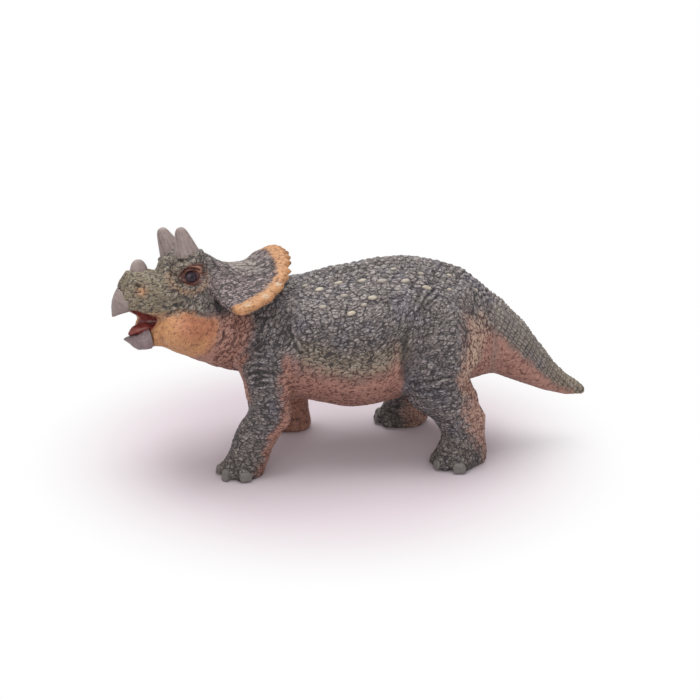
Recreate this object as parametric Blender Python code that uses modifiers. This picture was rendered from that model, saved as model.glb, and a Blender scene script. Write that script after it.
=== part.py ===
# Toy figure of a young three-horned dinosaur, walking with its mouth open.
# Metres, +Z up. The snout points to -X, the left flank to -Y, and the soles stand on Z = 0.
# Tables whose name ends in shares hold shares of the named sizes that they are read with.
import math

import bmesh
import bpy
import numpy as np
from mathutils import Matrix, Vector

# The trunk, from the neck joint to the tail joint. Its X runs from the lowest point of the belly.
BODY_LENGTH = 0.063
BODY_WIDTH = 0.036
BODY_DEPTH = 0.037
BODY_AXIS_HEIGHT = 0.031
BODY_WALL = 0.004
TAIL_LENGTH = 0.026

# Clearance that glued or seated pieces keep, and how far a cutter runs past what it cuts.
PIECE_GAP = 0.0003
OVERRUN = 0.004
MERGE_DISTANCE = 0.00001

# Pins along the seam of the two trunk halves.
SEAM_PIN_WIDTH = 0.0016
SEAM_PIN_LENGTH = 0.0026
SEAM_PIN_ROOT = 0.0012

# Square plugs that hold the limbs, the neck and the tail, and the flanges on the last two.
LIMB_PLUG_WIDTH = 0.006
LIMB_PLUG_INSIDE = 0.001
LIMB_PLUG_ROOT = 0.0016
FORE_PLUG_DROP = 0.003
NECK_PLUG_WIDTH = 0.009
TAIL_PLUG_WIDTH = 0.007
FLANGE_LIP = 0.0014
FLANGE_THICKNESS = 0.002
PLUG_EDGE = 0.0006

# Limbs: rise of the shoulder and hip pads above the trunk's axis, places behind the neck seam and
# ahead of the tail seam, girths, and how far each foot steps.
SHOULDER_RISE = 0.0055
SHOULDER_SETBACK = 0.0057
FORELEG_GIRTH = 0.011
LEFT_FORE_STEP = -0.0081
RIGHT_FORE_STEP = 0.0064
HIP_RISE = 0.0135
HIP_SETBACK = 0.0131
HINDLEG_GIRTH = 0.015
LEFT_HIND_STEP = 0.005
RIGHT_HIND_STEP = -0.0072
FOOT_SPREAD = 0.0155
TOE_LENGTH = 0.0044
TOE_WIDTH = 0.0036
TOE_HEIGHT = 0.0036
TOE_CENTRE_HEIGHT = 0.0012

# Head, in its own frame: origin at the neck seam, a drop below the neck's top, snout to -X.
HEAD_LENGTH = 0.034
HEAD_WIDTH = 0.021
HEAD_DEPTH = 0.025
HEAD_SHIFT = -0.002
HEAD_DROP = 0.005
HEAD_TURN = math.radians(18)
HEAD_ROLL = math.radians(-12)
MOUTH_LENGTH = 0.0098
MOUTH_WIDTH = 0.008
MOUTH_HEIGHT = 0.0072
MOUTH_LINING = 0.0009
TONGUE_LENGTH = 0.0088
TONGUE_WIDTH = 0.0048
TONGUE_THICKNESS = 0.0015
EYE_LENGTH = 0.0048
EYE_HEIGHT = 0.0042
EYE_THICKNESS = 0.0030
BROW_HORN_HEIGHT = 0.0085
BROW_HORN_WIDTH = 0.0058
NOSE_HORN_HEIGHT = 0.0036
NOSE_HORN_LENGTH = 0.0050
NOSE_HORN_WIDTH = 0.0036
FRILL_WIDTH = 0.042
FRILL_REACH = 0.021
FRILL_RISE = 0.014
FRILL_THICKNESS = 0.0020
FRILL_SCALLOP = 0.0007

# Counts of faces and copies.
BODY_SIDES = 24
LIMB_SIDES = 18
LIMB_SQUARENESS = 2.2
PIN_SIDES = 10
HORN_SIDES = 14
BALL_SIDES = 12
BALL_RINGS = 8
TOE_SIDES = 10
TOE_RINGS = 6
FRILL_COLUMNS = 28
FRILL_ROWS = 4
SECTION_STEPS = 2
FRILL_STEPS = 4
SHARP_ANGLE = math.radians(40)

# Trunk sections: along, middle above the axis, half width, half depth.
TRUNK_SHARES = (
    (-0.43, 0.06, 0.32, 0.32),
    (-0.36, 0.03, 0.37, 0.36),
    (-0.28, 0.01, 0.41, 0.39),
    (-0.19, -0.01, 0.45, 0.43),
    (-0.08, -0.01, 0.49, 0.47),
    (0.00, -0.01, 0.50, 0.49),
    (0.11, 0.02, 0.50, 0.50),
    (0.21, 0.04, 0.48, 0.49),
    (0.32, 0.05, 0.44, 0.45),
    (0.41, 0.05, 0.39, 0.41),
    (0.49, 0.03, 0.34, 0.37),
    (0.57, -0.02, 0.27, 0.29),
)
# Tail sections: along the tail, then as in the trunk.
TAIL_SHARES = (
    (0.00, -0.02, 0.27, 0.29),
    (0.12, -0.06, 0.24, 0.27),
    (0.23, -0.12, 0.22, 0.24),
    (0.35, -0.18, 0.19, 0.22),
    (0.46, -0.25, 0.16, 0.18),
    (0.58, -0.32, 0.13, 0.14),
    (0.69, -0.38, 0.10, 0.10),
    (0.81, -0.43, 0.08, 0.07),
    (0.90, -0.45, 0.06, 0.05),
    (0.97, -0.47, 0.03, 0.03),
    (1.00, -0.48, 0.01, 0.01),
)
# Limb sections: height, step, spread from the middle plane, half length, half width.
LEFT_FORE_SHARES = (
    (-0.03, 0.99, 1.03, 0.46, 0.42),
    (0.01, 0.99, 1.03, 0.48, 0.43),
    (0.05, 0.98, 1.03, 0.50, 0.45),
    (0.12, 0.82, 1.02, 0.49, 0.45),
    (0.19, 0.63, 0.99, 0.47, 0.44),
    (0.29, 0.35, 0.96, 0.54, 0.47),
    (0.36, 0.15, 0.94, 0.56, 0.49),
    (0.44, 0.01, 0.91, 0.48, 0.49),
    (0.55, 0.04, 0.88, 0.51, 0.51),
    (0.71, 0.02, 0.79, 0.60, 0.56),
    (0.86, 0.00, 0.70, 0.55, 0.52),
    (0.96, 0.00, 0.63, 0.33, 0.36),
    (1.00, 0.00, 0.61, 0.11, 0.14),
)
RIGHT_FORE_SHARES = (
    (-0.03, 1.00, 0.90, 0.46, 0.42),
    (0.01, 1.00, 0.90, 0.48, 0.43),
    (0.05, 0.97, 0.91, 0.52, 0.45),
    (0.12, 1.00, 0.92, 0.46, 0.43),
    (0.26, 0.97, 0.92, 0.44, 0.43),
    (0.38, 0.81, 0.90, 0.49, 0.47),
    (0.55, 0.53, 0.85, 0.53, 0.51),
    (0.71, 0.30, 0.77, 0.58, 0.56),
    (0.86, 0.11, 0.70, 0.55, 0.52),
    (0.96, 0.03, 0.63, 0.33, 0.36),
    (1.00, 0.00, 0.61, 0.11, 0.14),
)
LEFT_HIND_SHARES = (
    (-0.03, 0.94, 0.97, 0.36, 0.31),
    (0.01, 0.94, 0.97, 0.39, 0.33),
    (0.04, 0.84, 0.97, 0.46, 0.36),
    (0.11, 0.94, 0.96, 0.42, 0.34),
    (0.19, 1.04, 0.94, 0.38, 0.33),
    (0.29, 0.82, 0.92, 0.49, 0.37),
    (0.37, 0.14, 0.88, 0.59, 0.42),
    (0.44, -0.20, 0.84, 0.61, 0.46),
    (0.54, -0.14, 0.77, 0.60, 0.50),
    (0.67, 0.02, 0.70, 0.60, 0.51),
    (0.82, 0.04, 0.59, 0.53, 0.47),
    (0.93, -0.04, 0.48, 0.37, 0.36),
    (1.00, -0.08, 0.40, 0.12, 0.13),
)
RIGHT_HIND_SHARES = (
    (-0.03, 1.00, 0.93, 0.36, 0.31),
    (0.01, 1.00, 0.93, 0.39, 0.33),
    (0.04, 1.00, 0.94, 0.46, 0.35),
    (0.11, 0.92, 0.94, 0.39, 0.33),
    (0.19, 0.78, 0.93, 0.37, 0.33),
    (0.29, 0.58, 0.91, 0.46, 0.37),
    (0.37, 0.42, 0.88, 0.56, 0.42),
    (0.44, 0.31, 0.84, 0.60, 0.46),
    (0.54, 0.19, 0.77, 0.60, 0.50),
    (0.67, 0.03, 0.70, 0.60, 0.51),
    (0.82, -0.03, 0.59, 0.53, 0.47),
    (0.93, 0.03, 0.48, 0.37, 0.36),
    (1.00, 0.06, 0.40, 0.12, 0.13),
)
FORE_TOE_ANGLES = (-48, -6, 38, 84)
HIND_TOE_ANGLES = (-42, 2, 44, 86)
TOE_RIM_SHARE = 0.80

# Skull sections: along, middle, half width, half depth.
SKULL_SHARES = (
    (-0.98, 0.11, 0.11, 0.23),
    (-0.95, 0.12, 0.17, 0.28),
    (-0.91, 0.13, 0.20, 0.34),
    (-0.85, 0.13, 0.23, 0.37),
    (-0.77, 0.11, 0.27, 0.39),
    (-0.66, 0.10, 0.34, 0.40),
    (-0.56, 0.09, 0.40, 0.46),
    (-0.46, 0.08, 0.44, 0.51),
    (-0.34, 0.03, 0.47, 0.54),
    (-0.19, -0.03, 0.47, 0.52),
)
SKULL_SQUARENESS = 2.3
NECK_BLEND_SHARE = 0.5
# The muzzle's end face and the jaw's, by two points each, then the mouth's outlines (along, up).
MUZZLE_FACE_SHARES = ((-0.955, 0.350), (-0.900, 0.100))
JAW_FACE_SHARES = ((-0.765, -0.080), (-0.744, -0.280))
JAW_REAR_SHARE = -0.262
LIP_SHARES = ((-0.720, 0.000), (-0.765, 0.045), (-0.841, 0.100), (-0.912, 0.112), (-1.200, 0.112))
JAW_TOP_SHARES = ((-0.720, 0.000), (-0.762, -0.084), (-0.860, -0.120), (-1.200, -0.160))
MOUTH_MIDDLE_SHARES = (-0.762, -0.020)
TONGUE_MIDDLE_SHARES = (-0.776, -0.092)
TONGUE_TILT = math.radians(-4)
# Beaks: upper by height (up, middle, half length, half width), lower by length as the skull.
UPPER_BEAK_SHARES = (
    (0.056, -1.000, 0.006, 0.014),
    (0.075, -0.985, 0.022, 0.055),
    (0.105, -0.945, 0.058, 0.135),
    (0.150, -0.925, 0.076, 0.185),
    (0.210, -0.918, 0.076, 0.192),
    (0.270, -0.915, 0.066, 0.175),
    (0.330, -0.915, 0.050, 0.135),
    (0.365, -0.915, 0.036, 0.085),
    (0.380, -0.915, 0.014, 0.030),
)
LOWER_BEAK_SHARES = (
    (-0.936, -0.150, 0.020, 0.014),
    (-0.920, -0.172, 0.080, 0.048),
    (-0.885, -0.192, 0.140, 0.084),
    (-0.840, -0.196, 0.190, 0.104),
    (-0.790, -0.192, 0.230, 0.112),
    (-0.700, -0.186, 0.250, 0.114),
)
# Pegs of the pieces of the head: two corners each (along, across, up).
MUZZLE_PEG_SHARES = ((-0.940, -0.050, 0.200), (-0.850, 0.050, 0.280))
JAW_PEG_SHARES = ((-0.800, -0.075, -0.265), (-0.715, 0.075, -0.205))
JAW_TAB_SHARES = ((-0.520, -0.140, -0.160), (-0.400, 0.140, 0.140))
TONGUE_PEG_SHARES = ((-0.715, -0.050, -0.190), (-0.665, 0.050, -0.080))
FRILL_TAB_SHARES = ((-0.270, -0.140, 0.355), (-0.060, 0.140, 0.425))
EYE_STEM_SHARES = ((-0.488, 0.270, 0.366), (-0.430, 0.400, 0.442))
# Brow, cheek and jowl swellings: middle (along, across, up), then half sizes.
SWELLING_SHARES = (
    ((-0.455, 0.300, 0.480), (0.140, 0.150, 0.110)),
    ((-0.400, 0.370, 0.070), (0.150, 0.125, 0.150)),
    ((-0.520, 0.270, -0.140), (0.200, 0.190, 0.170)),
)
EYE_SHARES = (-0.459, 0.405, 0.404)
BROW_HORN_SHARES = (-0.455, 0.320, 0.550)
BROW_HORN_LEAN = math.radians(-12)
BROW_HORN_SPLAY = math.radians(8)
NOSE_HORN_SHARES = (-0.783, 0.000, 0.450)
# Outlines of the horns from tip to seat: half width, height.
BROW_HORN_OUTLINE_SHARES = (
    (0.00, 1.00), (0.13, 0.985), (0.22, 0.93), (0.29, 0.80), (0.37, 0.58), (0.45, 0.32), (0.50, 0.00), (0.00, 0.00))
NOSE_HORN_OUTLINE_SHARES = (
    (0.00, 1.00), (0.16, 0.97), (0.30, 0.86), (0.41, 0.66), (0.48, 0.36), (0.50, 0.00), (0.00, 0.00))
# Frill from the middle line to the lower corner: root (back, across, up), then rim.
FRILL_SHARES = (
    ((-0.300, 0.000, 0.780), (0.486, 0.000, 0.960)),
    ((-0.350, 0.070, 0.800), (0.495, 0.120, 0.900)),
    ((-0.430, 0.140, 0.790), (0.440, 0.250, 0.720)),
    ((-0.490, 0.200, 0.700), (0.285, 0.355, 0.450)),
    ((-0.530, 0.225, 0.560), (0.000, 0.445, 0.205)),
    ((-0.560, 0.230, 0.400), (-0.400, 0.500, 0.080)),
)
FRILL_DIP_SHARE = 0.10
FRILL_SCALLOP_COUNT = 14
SEAM_PIN_SHARES = (-0.28, 0.10, 0.43)

SKIN_GREY = (0.100, 0.105, 0.095)
SKIN_BROWN = (0.330, 0.180, 0.130)
SKIN_ORANGE = (0.500, 0.230, 0.090)
HORN_GREY = (0.300, 0.250, 0.230)
MOUTH_RED = (0.180, 0.040, 0.030)
EYE_DARK = (0.030, 0.015, 0.020)
SKIN_ROUGHNESS = 0.6
HORN_ROUGHNESS = 0.5
MOUTH_ROUGHNESS = 0.4
EYE_ROUGHNESS = 0.2

for item in list(bpy.data.objects):
    bpy.data.objects.remove(item)
part_collection = bpy.data.collections.new("toy_dinosaur")
cutter_collection = bpy.data.collections.new("cutters")


def finish(name, colour, roughness):
    """Principled material of one painted moulding."""
    material = bpy.data.materials.new(name)
    material.use_nodes = True
    shader = material.node_tree.nodes["Principled BSDF"]
    shader.inputs["Base Color"].default_value = (*colour, 1.0)
    shader.inputs["Roughness"].default_value = roughness
    shader.inputs["Metallic"].default_value = 0.0
    return material


def body_from(name, mesh):
    """New object in the cutter collection, which a finished sub-part leaves again."""
    data = bpy.data.meshes.new(name)
    bmesh.ops.recalc_face_normals(mesh, faces=mesh.faces)
    mesh.to_mesh(data)
    mesh.free()
    body = bpy.data.objects.new(name, data)
    body.hide_render = True
    body.display_type = 'WIRE'
    cutter_collection.objects.link(body)
    return body


def settle(body):
    """Applies the body's modifiers."""
    bpy.context.view_layer.update()
    evaluated = body.evaluated_get(bpy.context.evaluated_depsgraph_get())
    applied = bpy.data.meshes.new_from_object(evaluated)
    body.modifiers.clear()
    body.data = applied


def combine(body, tool, operation, keep=False):
    """Boolean of the body with a tool, applied, after which the tool goes unless it is kept."""
    modifier = body.modifiers.new("combine", 'BOOLEAN')
    modifier.operation = operation
    modifier.object = tool
    modifier.solver = 'EXACT'
    settle(body)
    if not keep:
        bpy.data.objects.remove(tool)


def cut(body, tool, keep=False):
    combine(body, tool, 'DIFFERENCE', keep)


def add(body, tool):
    combine(body, tool, 'UNION')


def smooth_rows(rows, steps):
    """Rows of numbers on a Catmull-Rom curve through the given rows."""
    rows = np.array(rows, dtype=float)
    padded = np.vstack((2 * rows[0] - rows[1], rows, 2 * rows[-1] - rows[-2]))
    result = []
    for before, start, end, after in zip(padded, padded[1:], padded[2:], padded[3:]):
        for step in range(steps):
            t = step / steps
            slope = end - before
            bend = 2 * before - 5 * start + 4 * end - after
            twist = 3 * start - before - 3 * end + after
            result.append((2 * start + slope * t + bend * t ** 2 + twist * t ** 3) / 2)
    result.append(rows[-1])
    return np.array(result)


def rounded(angle, squareness):
    """Point of a unit superellipse."""
    across, up = math.cos(angle), math.sin(angle)
    power = 2 / squareness
    return math.copysign(abs(across) ** power, across), math.copysign(abs(up) ** power, up)


def section(middle, across, up, half_width, half_height, sides, squareness=2.0):
    """Closed ring of points in the plane of two directions."""
    points = []
    for index in range(sides):
        wide, high = rounded(2 * math.pi * index / sides, squareness)
        points.append(Vector(middle) + across * (wide * half_width) + up * (high * half_height))
    return points


def loft(name, rings):
    """Closed body through rings of points, with flat ends."""
    mesh = bmesh.new()
    loops = [[mesh.verts.new(point) for point in ring] for ring in rings]
    for near, far in zip(loops, loops[1:]):
        for index in range(len(near)):
            mesh.faces.new((near[index], near[index - 1], far[index - 1], far[index]))
    mesh.faces.new(loops[0])
    mesh.faces.new(reversed(loops[-1]))
    return body_from(name, mesh)


def trim(body, point, normal):
    """Cuts away what lies beyond a plane and closes the cut."""
    mesh = bmesh.new()
    mesh.from_mesh(body.data)
    geometry = mesh.verts[:] + mesh.edges[:] + mesh.faces[:]
    cut_edges = bmesh.ops.bisect_plane(
        mesh, geom=geometry, plane_co=point, plane_no=normal, clear_outer=True)["geom_cut"]
    edges = [item for item in cut_edges if isinstance(item, bmesh.types.BMEdge)]
    bmesh.ops.holes_fill(mesh, edges=edges, sides=0)
    bmesh.ops.recalc_face_normals(mesh, faces=mesh.faces)
    mesh.to_mesh(body.data)
    mesh.free()


def prism(name, outline, half_width):
    """Outline in X and Z carried across Y, as a cutter."""
    mesh = bmesh.new()
    face = mesh.faces.new([mesh.verts.new((x, -half_width, z)) for x, z in outline])
    swept = bmesh.ops.extrude_face_region(mesh, geom=[face])["geom"]
    points = [item for item in swept if isinstance(item, bmesh.types.BMVert)]
    bmesh.ops.translate(mesh, verts=points, vec=(0, 2 * half_width, 0))
    return body_from(name, mesh)


def block(name, low, high, edge=0.0):
    """Box between two corners, with its edges rounded if asked."""
    mesh = bmesh.new()
    bmesh.ops.create_cube(mesh, size=1.0)
    low, high = Vector(low), Vector(high)
    size = high - low
    bmesh.ops.scale(mesh, verts=mesh.verts, vec=size)
    bmesh.ops.translate(mesh, verts=mesh.verts, vec=(low + high) / 2)
    if edge:
        bmesh.ops.bevel(mesh, geom=mesh.edges, offset=edge, segments=1, affect='EDGES')
    return body_from(name, mesh)


def plug(name, middle, direction, width, start, end, extra=0.0):
    """Square plug along X or Y through a middle point, between two places on that axis."""
    half = Vector((width, width, width)) / 2 + Vector((extra, extra, extra))
    low, high = Vector(middle) - half, Vector(middle) + half
    low[direction], high[direction] = min(start, end), max(start, end)
    return block(name, low, high, 0.0 if extra else PLUG_EDGE)


def ball(name, middle, half_sizes, sides, rings, turn=0.0):
    """Ellipsoid, turned about Y."""
    mesh = bmesh.new()
    bmesh.ops.create_uvsphere(mesh, u_segments=sides, v_segments=rings, radius=1.0)
    place = Matrix.Translation(middle) @ Matrix.Rotation(turn, 4, 'Y') @ Matrix.Diagonal((*half_sizes, 1.0))
    bmesh.ops.transform(mesh, matrix=place, verts=mesh.verts)
    return body_from(name, mesh)


def keep_part(body, name, material, parent):
    """Names a finished body, gives it its material and moves it into the part's collection."""
    body.name = name
    body.data.name = name
    body.data.materials.clear()
    body.data.materials.append(material)
    body.data.polygons.foreach_set("material_index", [0] * len(body.data.polygons))
    body.data.shade_smooth()
    body.data.set_sharp_from_angle(angle=SHARP_ANGLE)
    body.hide_render = False
    body.display_type = 'TEXTURED'
    cutter_collection.objects.unlink(body)
    part_collection.objects.link(body)
    body.parent = parent


def trunk_row(shares, extra, start=0.0, length=BODY_LENGTH):
    """Real sizes of one trunk or tail section."""
    along, middle, wide, deep = shares
    return [start + along * length, BODY_AXIS_HEIGHT + middle * BODY_DEPTH,
            wide * BODY_WIDTH + extra, deep * BODY_DEPTH + extra]


NECK_SEAM = trunk_row(TRUNK_SHARES[0], 0.0)
TAIL_SEAM = trunk_row(TRUNK_SHARES[-1], 0.0)
SHOULDER_X = NECK_SEAM[0] + SHOULDER_SETBACK
HIP_X = TAIL_SEAM[0] - HIP_SETBACK
FORELEG_HEIGHT = BODY_AXIS_HEIGHT + SHOULDER_RISE
HINDLEG_HEIGHT = BODY_AXIS_HEIGHT + HIP_RISE
FORE_PLUG_HEIGHT = BODY_AXIS_HEIGHT - FORE_PLUG_DROP
HIND_PLUG_HEIGHT = BODY_AXIS_HEIGHT
HEAD_PLACE = (NECK_SEAM[0], HEAD_SHIFT, NECK_SEAM[1] + NECK_SEAM[3] - HEAD_DROP)


def trunk_ring(row):
    x, middle, half_width, half_depth = row
    return section((x, 0, middle), Vector((0, 1, 0)), Vector((0, 0, 1)),
                   half_width, half_depth, BODY_SIDES)


def trunk_form(name, extra):
    """The whole trunk, grown or shrunk all round by extra."""
    rows = [trunk_row(shares, extra) for shares in smooth_rows(TRUNK_SHARES, SECTION_STEPS)]
    rows[0][0] -= extra
    rows[-1][0] += extra
    inner = [row for row in rows[1:-1] if rows[0][0] < row[0] < rows[-1][0]]
    return loft(name, [trunk_ring(row) for row in (rows[0], *inner, rows[-1])])


def trunk_size_at(x):
    """Middle height, half width and half depth of the trunk at a place along it."""
    rows = np.array([trunk_row(shares, 0.0) for shares in smooth_rows(TRUNK_SHARES, SECTION_STEPS)])
    return [np.interp(x, rows[:, 0], rows[:, column]) for column in (1, 2, 3)]


def limb_plug(name, side, hip_x, height, extra=0.0):
    """Square plug through the trunk's wall, or its hole where extra is given."""
    middle, half_width, half_depth = trunk_size_at(hip_x)
    surface = half_width * math.sqrt(1 - ((height - middle) / half_depth) ** 2)
    inside = side * (surface - BODY_WALL - LIMB_PLUG_INSIDE - extra)
    outside = side * (surface + LIMB_PLUG_ROOT + extra)
    return plug(name, (hip_x, 0, height), 1, LIMB_PLUG_WIDTH, inside, outside, extra)


def seam_pin_places():
    """Places in the middle of the wall, along the back and the belly."""
    for share in SEAM_PIN_SHARES:
        x = share * BODY_LENGTH
        middle, _, half_depth = trunk_size_at(x)
        for side in (-1, 1):
            yield x, middle + side * (half_depth - BODY_WALL / 2)


def rod(name, start, end, radius):
    """Round pin along Y between two points."""
    mesh = bmesh.new()
    length = abs(end[1] - start[1])
    turn = Matrix.Rotation(math.pi / 2, 4, 'X')
    place = Matrix.Translation((Vector(start) + Vector(end)) / 2) @ turn
    bmesh.ops.create_cone(mesh, cap_ends=True, segments=PIN_SIDES, radius1=radius,
                          radius2=radius, depth=length, matrix=place)
    return body_from(name, mesh)


def end_plug(name, seam, direction, width, extra=0.0):
    """Plug through the trunk's end wall with a flange behind it, or its hole where extra is given."""
    x, middle = seam[0], seam[1]
    face = x - direction * BODY_WALL
    tip = face - direction * (PIECE_GAP + FLANGE_THICKNESS)
    shank = plug(name, (x, 0, middle), 0, width, x + direction * BODY_WALL, tip, extra)
    if not extra:
        flange = plug(name + "_flange", (x, 0, middle), 0, width + 2 * FLANGE_LIP,
                      face - direction * PIECE_GAP, tip, 0.0)
        add(shank, flange)
    return shank


def trunk_half(name, side, material):
    """One hollow half of the trunk, with its holes, and pins on the right half."""
    half = trunk_form(name, 0.0)
    reach = BODY_LENGTH
    low = Vector((-reach, -reach, -reach))
    high = Vector((reach, reach, reach))
    other = block("other_side", low, high)
    other.location.y = -side * (reach - PIECE_GAP / 2)
    cut(half, other)
    cut(half, trunk_form("hollow", -BODY_WALL))
    cut(half, end_plug("neck_hole", NECK_SEAM, -1, NECK_PLUG_WIDTH, PIECE_GAP))
    cut(half, end_plug("tail_hole", TAIL_SEAM, 1, TAIL_PLUG_WIDTH, PIECE_GAP))
    for hip_x, height in ((SHOULDER_X, FORE_PLUG_HEIGHT), (HIP_X, HIND_PLUG_HEIGHT)):
        cut(half, limb_plug("limb_hole", side, hip_x, height, PIECE_GAP))
    for x, z in seam_pin_places():
        if side > 0:
            start, end = (x, SEAM_PIN_ROOT, z), (x, -SEAM_PIN_LENGTH, z)
            add(half, rod("pin", start, end, SEAM_PIN_WIDTH / 2))
        else:
            start, end = (x, OVERRUN, z), (x, -SEAM_PIN_LENGTH - 2 * PIECE_GAP, z)
            cut(half, rod("pin_hole", start, end, SEAM_PIN_WIDTH / 2 + PIECE_GAP))
    keep_part(half, name, material, root)


def tail(material):
    rows = [trunk_row(shares, 0.0, TAIL_SEAM[0], TAIL_LENGTH) for shares in TAIL_SHARES]
    rows[0][0] += PIECE_GAP
    body = loft("tail", [trunk_ring(row) for row in rows])
    add(body, end_plug("tail_plug", TAIL_SEAM, 1, TAIL_PLUG_WIDTH))
    keep_part(body, "tail", material, root)


def limb(name, side, rows, hip_x, height, girth, step, toe_angles, plug_height, material):
    """Leg and foot, seated on the trunk and plugged into it."""
    rings = []
    for up, forward, apart, long, wide in smooth_rows(rows, SECTION_STEPS):
        middle = (hip_x + forward * step, side * apart * FOOT_SPREAD, up * height)
        rings.append(section(middle, Vector((0, 1, 0)), Vector((1, 0, 0)),
                             wide * girth, long * girth, LIMB_SIDES, LIMB_SQUARENESS))
    body = loft(name, rings)
    _, forward, apart, long, wide = rows[2]
    for degrees in toe_angles:
        angle = math.radians(degrees)
        x = hip_x + forward * step - TOE_RIM_SHARE * long * girth * math.cos(angle)
        y = side * (apart * FOOT_SPREAD + TOE_RIM_SHARE * wide * girth * math.sin(angle))
        toe = ball("toe", (0, 0, 0), (TOE_LENGTH / 2, TOE_WIDTH / 2, TOE_HEIGHT / 2), TOE_SIDES, TOE_RINGS)
        toe.location = (x, y, TOE_CENTRE_HEIGHT)
        toe.rotation_euler.z = -side * angle
        add(body, toe)
    trim(body, (0, 0, 0), (0, 0, -1))
    cut(body, trunk_form("trunk_clearance", PIECE_GAP))
    cut(body, head_form("head_clearance", PIECE_GAP))
    add(body, limb_plug("limb_plug", side, hip_x, plug_height))
    keep_part(body, name, material, root)


def head_point(along, across, up):
    return Vector((along * HEAD_LENGTH, across * HEAD_WIDTH, up * HEAD_DEPTH))


def in_head(body):
    """Puts a body that was modelled in the head's frame into it."""
    body.parent = head_frame
    return body


def skull_rings(rows, extra=0.0):
    return [section((along * HEAD_LENGTH, 0, middle * HEAD_DEPTH), Vector((0, 1, 0)), Vector((0, 0, 1)),
                    wide * HEAD_WIDTH + extra, deep * HEAD_DEPTH + extra, BODY_SIDES, SKULL_SQUARENESS)
            for along, middle, wide, deep in rows]


def head_form(name, extra):
    """Skull, jaw and neck as one body in the head's frame, grown by extra."""
    rings = skull_rings(smooth_rows(SKULL_SHARES, SECTION_STEPS), extra)
    to_head = head_place.inverted()
    seam = [NECK_SEAM[0] - PIECE_GAP, NECK_SEAM[1], NECK_SEAM[2] + extra, NECK_SEAM[3] + extra]
    seam_ring = [to_head @ point for point in trunk_ring(seam)]
    blend = [near.lerp(far, NECK_BLEND_SHARE) for near, far in zip(rings[-1], seam_ring)]
    body = in_head(loft(name, rings + [blend, seam_ring]))
    for middle, sizes in SWELLING_SHARES:
        for side in (-1, 1):
            along, across, up = middle
            half = head_point(*sizes) + Vector((extra, extra, extra))
            place = head_point(along, side * across, up)
            add(body, in_head(ball("swelling", place, half, BALL_SIDES, BALL_RINGS)))
    return body


def head_peg(name, corners, extra=0.0, side=1):
    """Peg between two corners in the head's frame, or its slot where extra is given."""
    first, second = (head_point(along, side * across, up) for along, across, up in corners)
    low = Vector(map(min, first, second)) - Vector((extra, extra, extra))
    high = Vector(map(max, first, second)) + Vector((extra, extra, extra))
    return in_head(block(name, low, high))


def face_plane(shares):
    """A point of a face across the head, and its normal towards the snout."""
    (x1, z1), (x2, z2) = ((along * HEAD_LENGTH, up * HEAD_DEPTH) for along, up in shares)
    return Vector((x1, 0, z1)), Vector((z2 - z1, 0, x1 - x2)).normalized()


def mouth_outline(shares, offset):
    """Region below a lip or jaw line as far as the jaw's rear seam, in the head's frame."""
    line = [(along * HEAD_LENGTH, up * HEAD_DEPTH + offset) for along, up in shares]
    rear = JAW_REAR_SHARE * HEAD_LENGTH + offset
    return [(rear, offset), *line, (line[-1][0], -HEAD_DEPTH), (rear, -HEAD_DEPTH)]


def mouth_ball(name, inset):
    """The hollow of the mouth, made smaller all round by inset."""
    along, up = MOUTH_MIDDLE_SHARES
    half = Vector((MOUTH_LENGTH, MOUTH_WIDTH, MOUTH_HEIGHT)) / 2 - Vector((inset, inset, inset))
    return in_head(ball(name, head_point(along, 0, up), half, BALL_SIDES, BALL_RINGS))


def turned(name, outline, width, height, extra):
    """Horn turned from its outline, grown by extra."""
    data = bpy.data.meshes.new(name)
    points = []
    for wide, high in outline:
        radius = wide * width + extra if wide else 0.0
        lift = extra if high else -extra
        points.append((radius, 0, high * height + lift))
    data.from_pydata(points, [(index, index + 1) for index in range(len(points) - 1)], [])
    body = bpy.data.objects.new(name, data)
    cutter_collection.objects.link(body)
    body.hide_render = True
    body.display_type = 'WIRE'
    screw = body.modifiers.new("turn", 'SCREW')
    screw.steps = screw.render_steps = HORN_SIDES
    screw.use_merge_vertices = True
    screw.merge_threshold = MERGE_DISTANCE
    settle(body)
    return in_head(body)


def brow_horn(name, side, extra):
    body = turned(name, BROW_HORN_OUTLINE_SHARES, BROW_HORN_WIDTH, BROW_HORN_HEIGHT, extra)
    along, across, up = BROW_HORN_SHARES
    place = Matrix.Translation(head_point(along, side * across, up))
    lean = Matrix.Rotation(BROW_HORN_LEAN, 4, 'Y') @ Matrix.Rotation(-side * BROW_HORN_SPLAY, 4, 'X')
    body.data.transform(place @ lean)
    return body


def nose_horn(name, extra):
    body = turned(name, NOSE_HORN_OUTLINE_SHARES, NOSE_HORN_LENGTH, NOSE_HORN_HEIGHT, extra)
    narrow = Matrix.Diagonal((1.0, NOSE_HORN_WIDTH / NOSE_HORN_LENGTH, 1.0, 1.0))
    body.data.transform(Matrix.Translation(head_point(*NOSE_HORN_SHARES)) @ narrow)
    return body


def eye(name, side, extra):
    """Eye with its stem, grown by extra."""
    along, across, up = EYE_SHARES
    half = Vector((EYE_LENGTH, EYE_THICKNESS, EYE_HEIGHT)) / 2 + Vector((extra, extra, extra))
    body = in_head(ball(name, head_point(along, side * across, up), half, BALL_SIDES, BALL_RINGS))
    add(body, head_peg("eye_stem", EYE_STEM_SHARES, extra, side))
    return body


def tongue(name, extra):
    along, up = TONGUE_MIDDLE_SHARES
    half = Vector((TONGUE_LENGTH, TONGUE_WIDTH, TONGUE_THICKNESS)) / 2 + Vector((extra, extra, extra))
    body = in_head(ball(name, head_point(along, 0, up), half, BALL_SIDES, BALL_RINGS, TONGUE_TILT))
    add(body, head_peg("tongue_peg", TONGUE_PEG_SHARES, extra))
    return body


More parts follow.
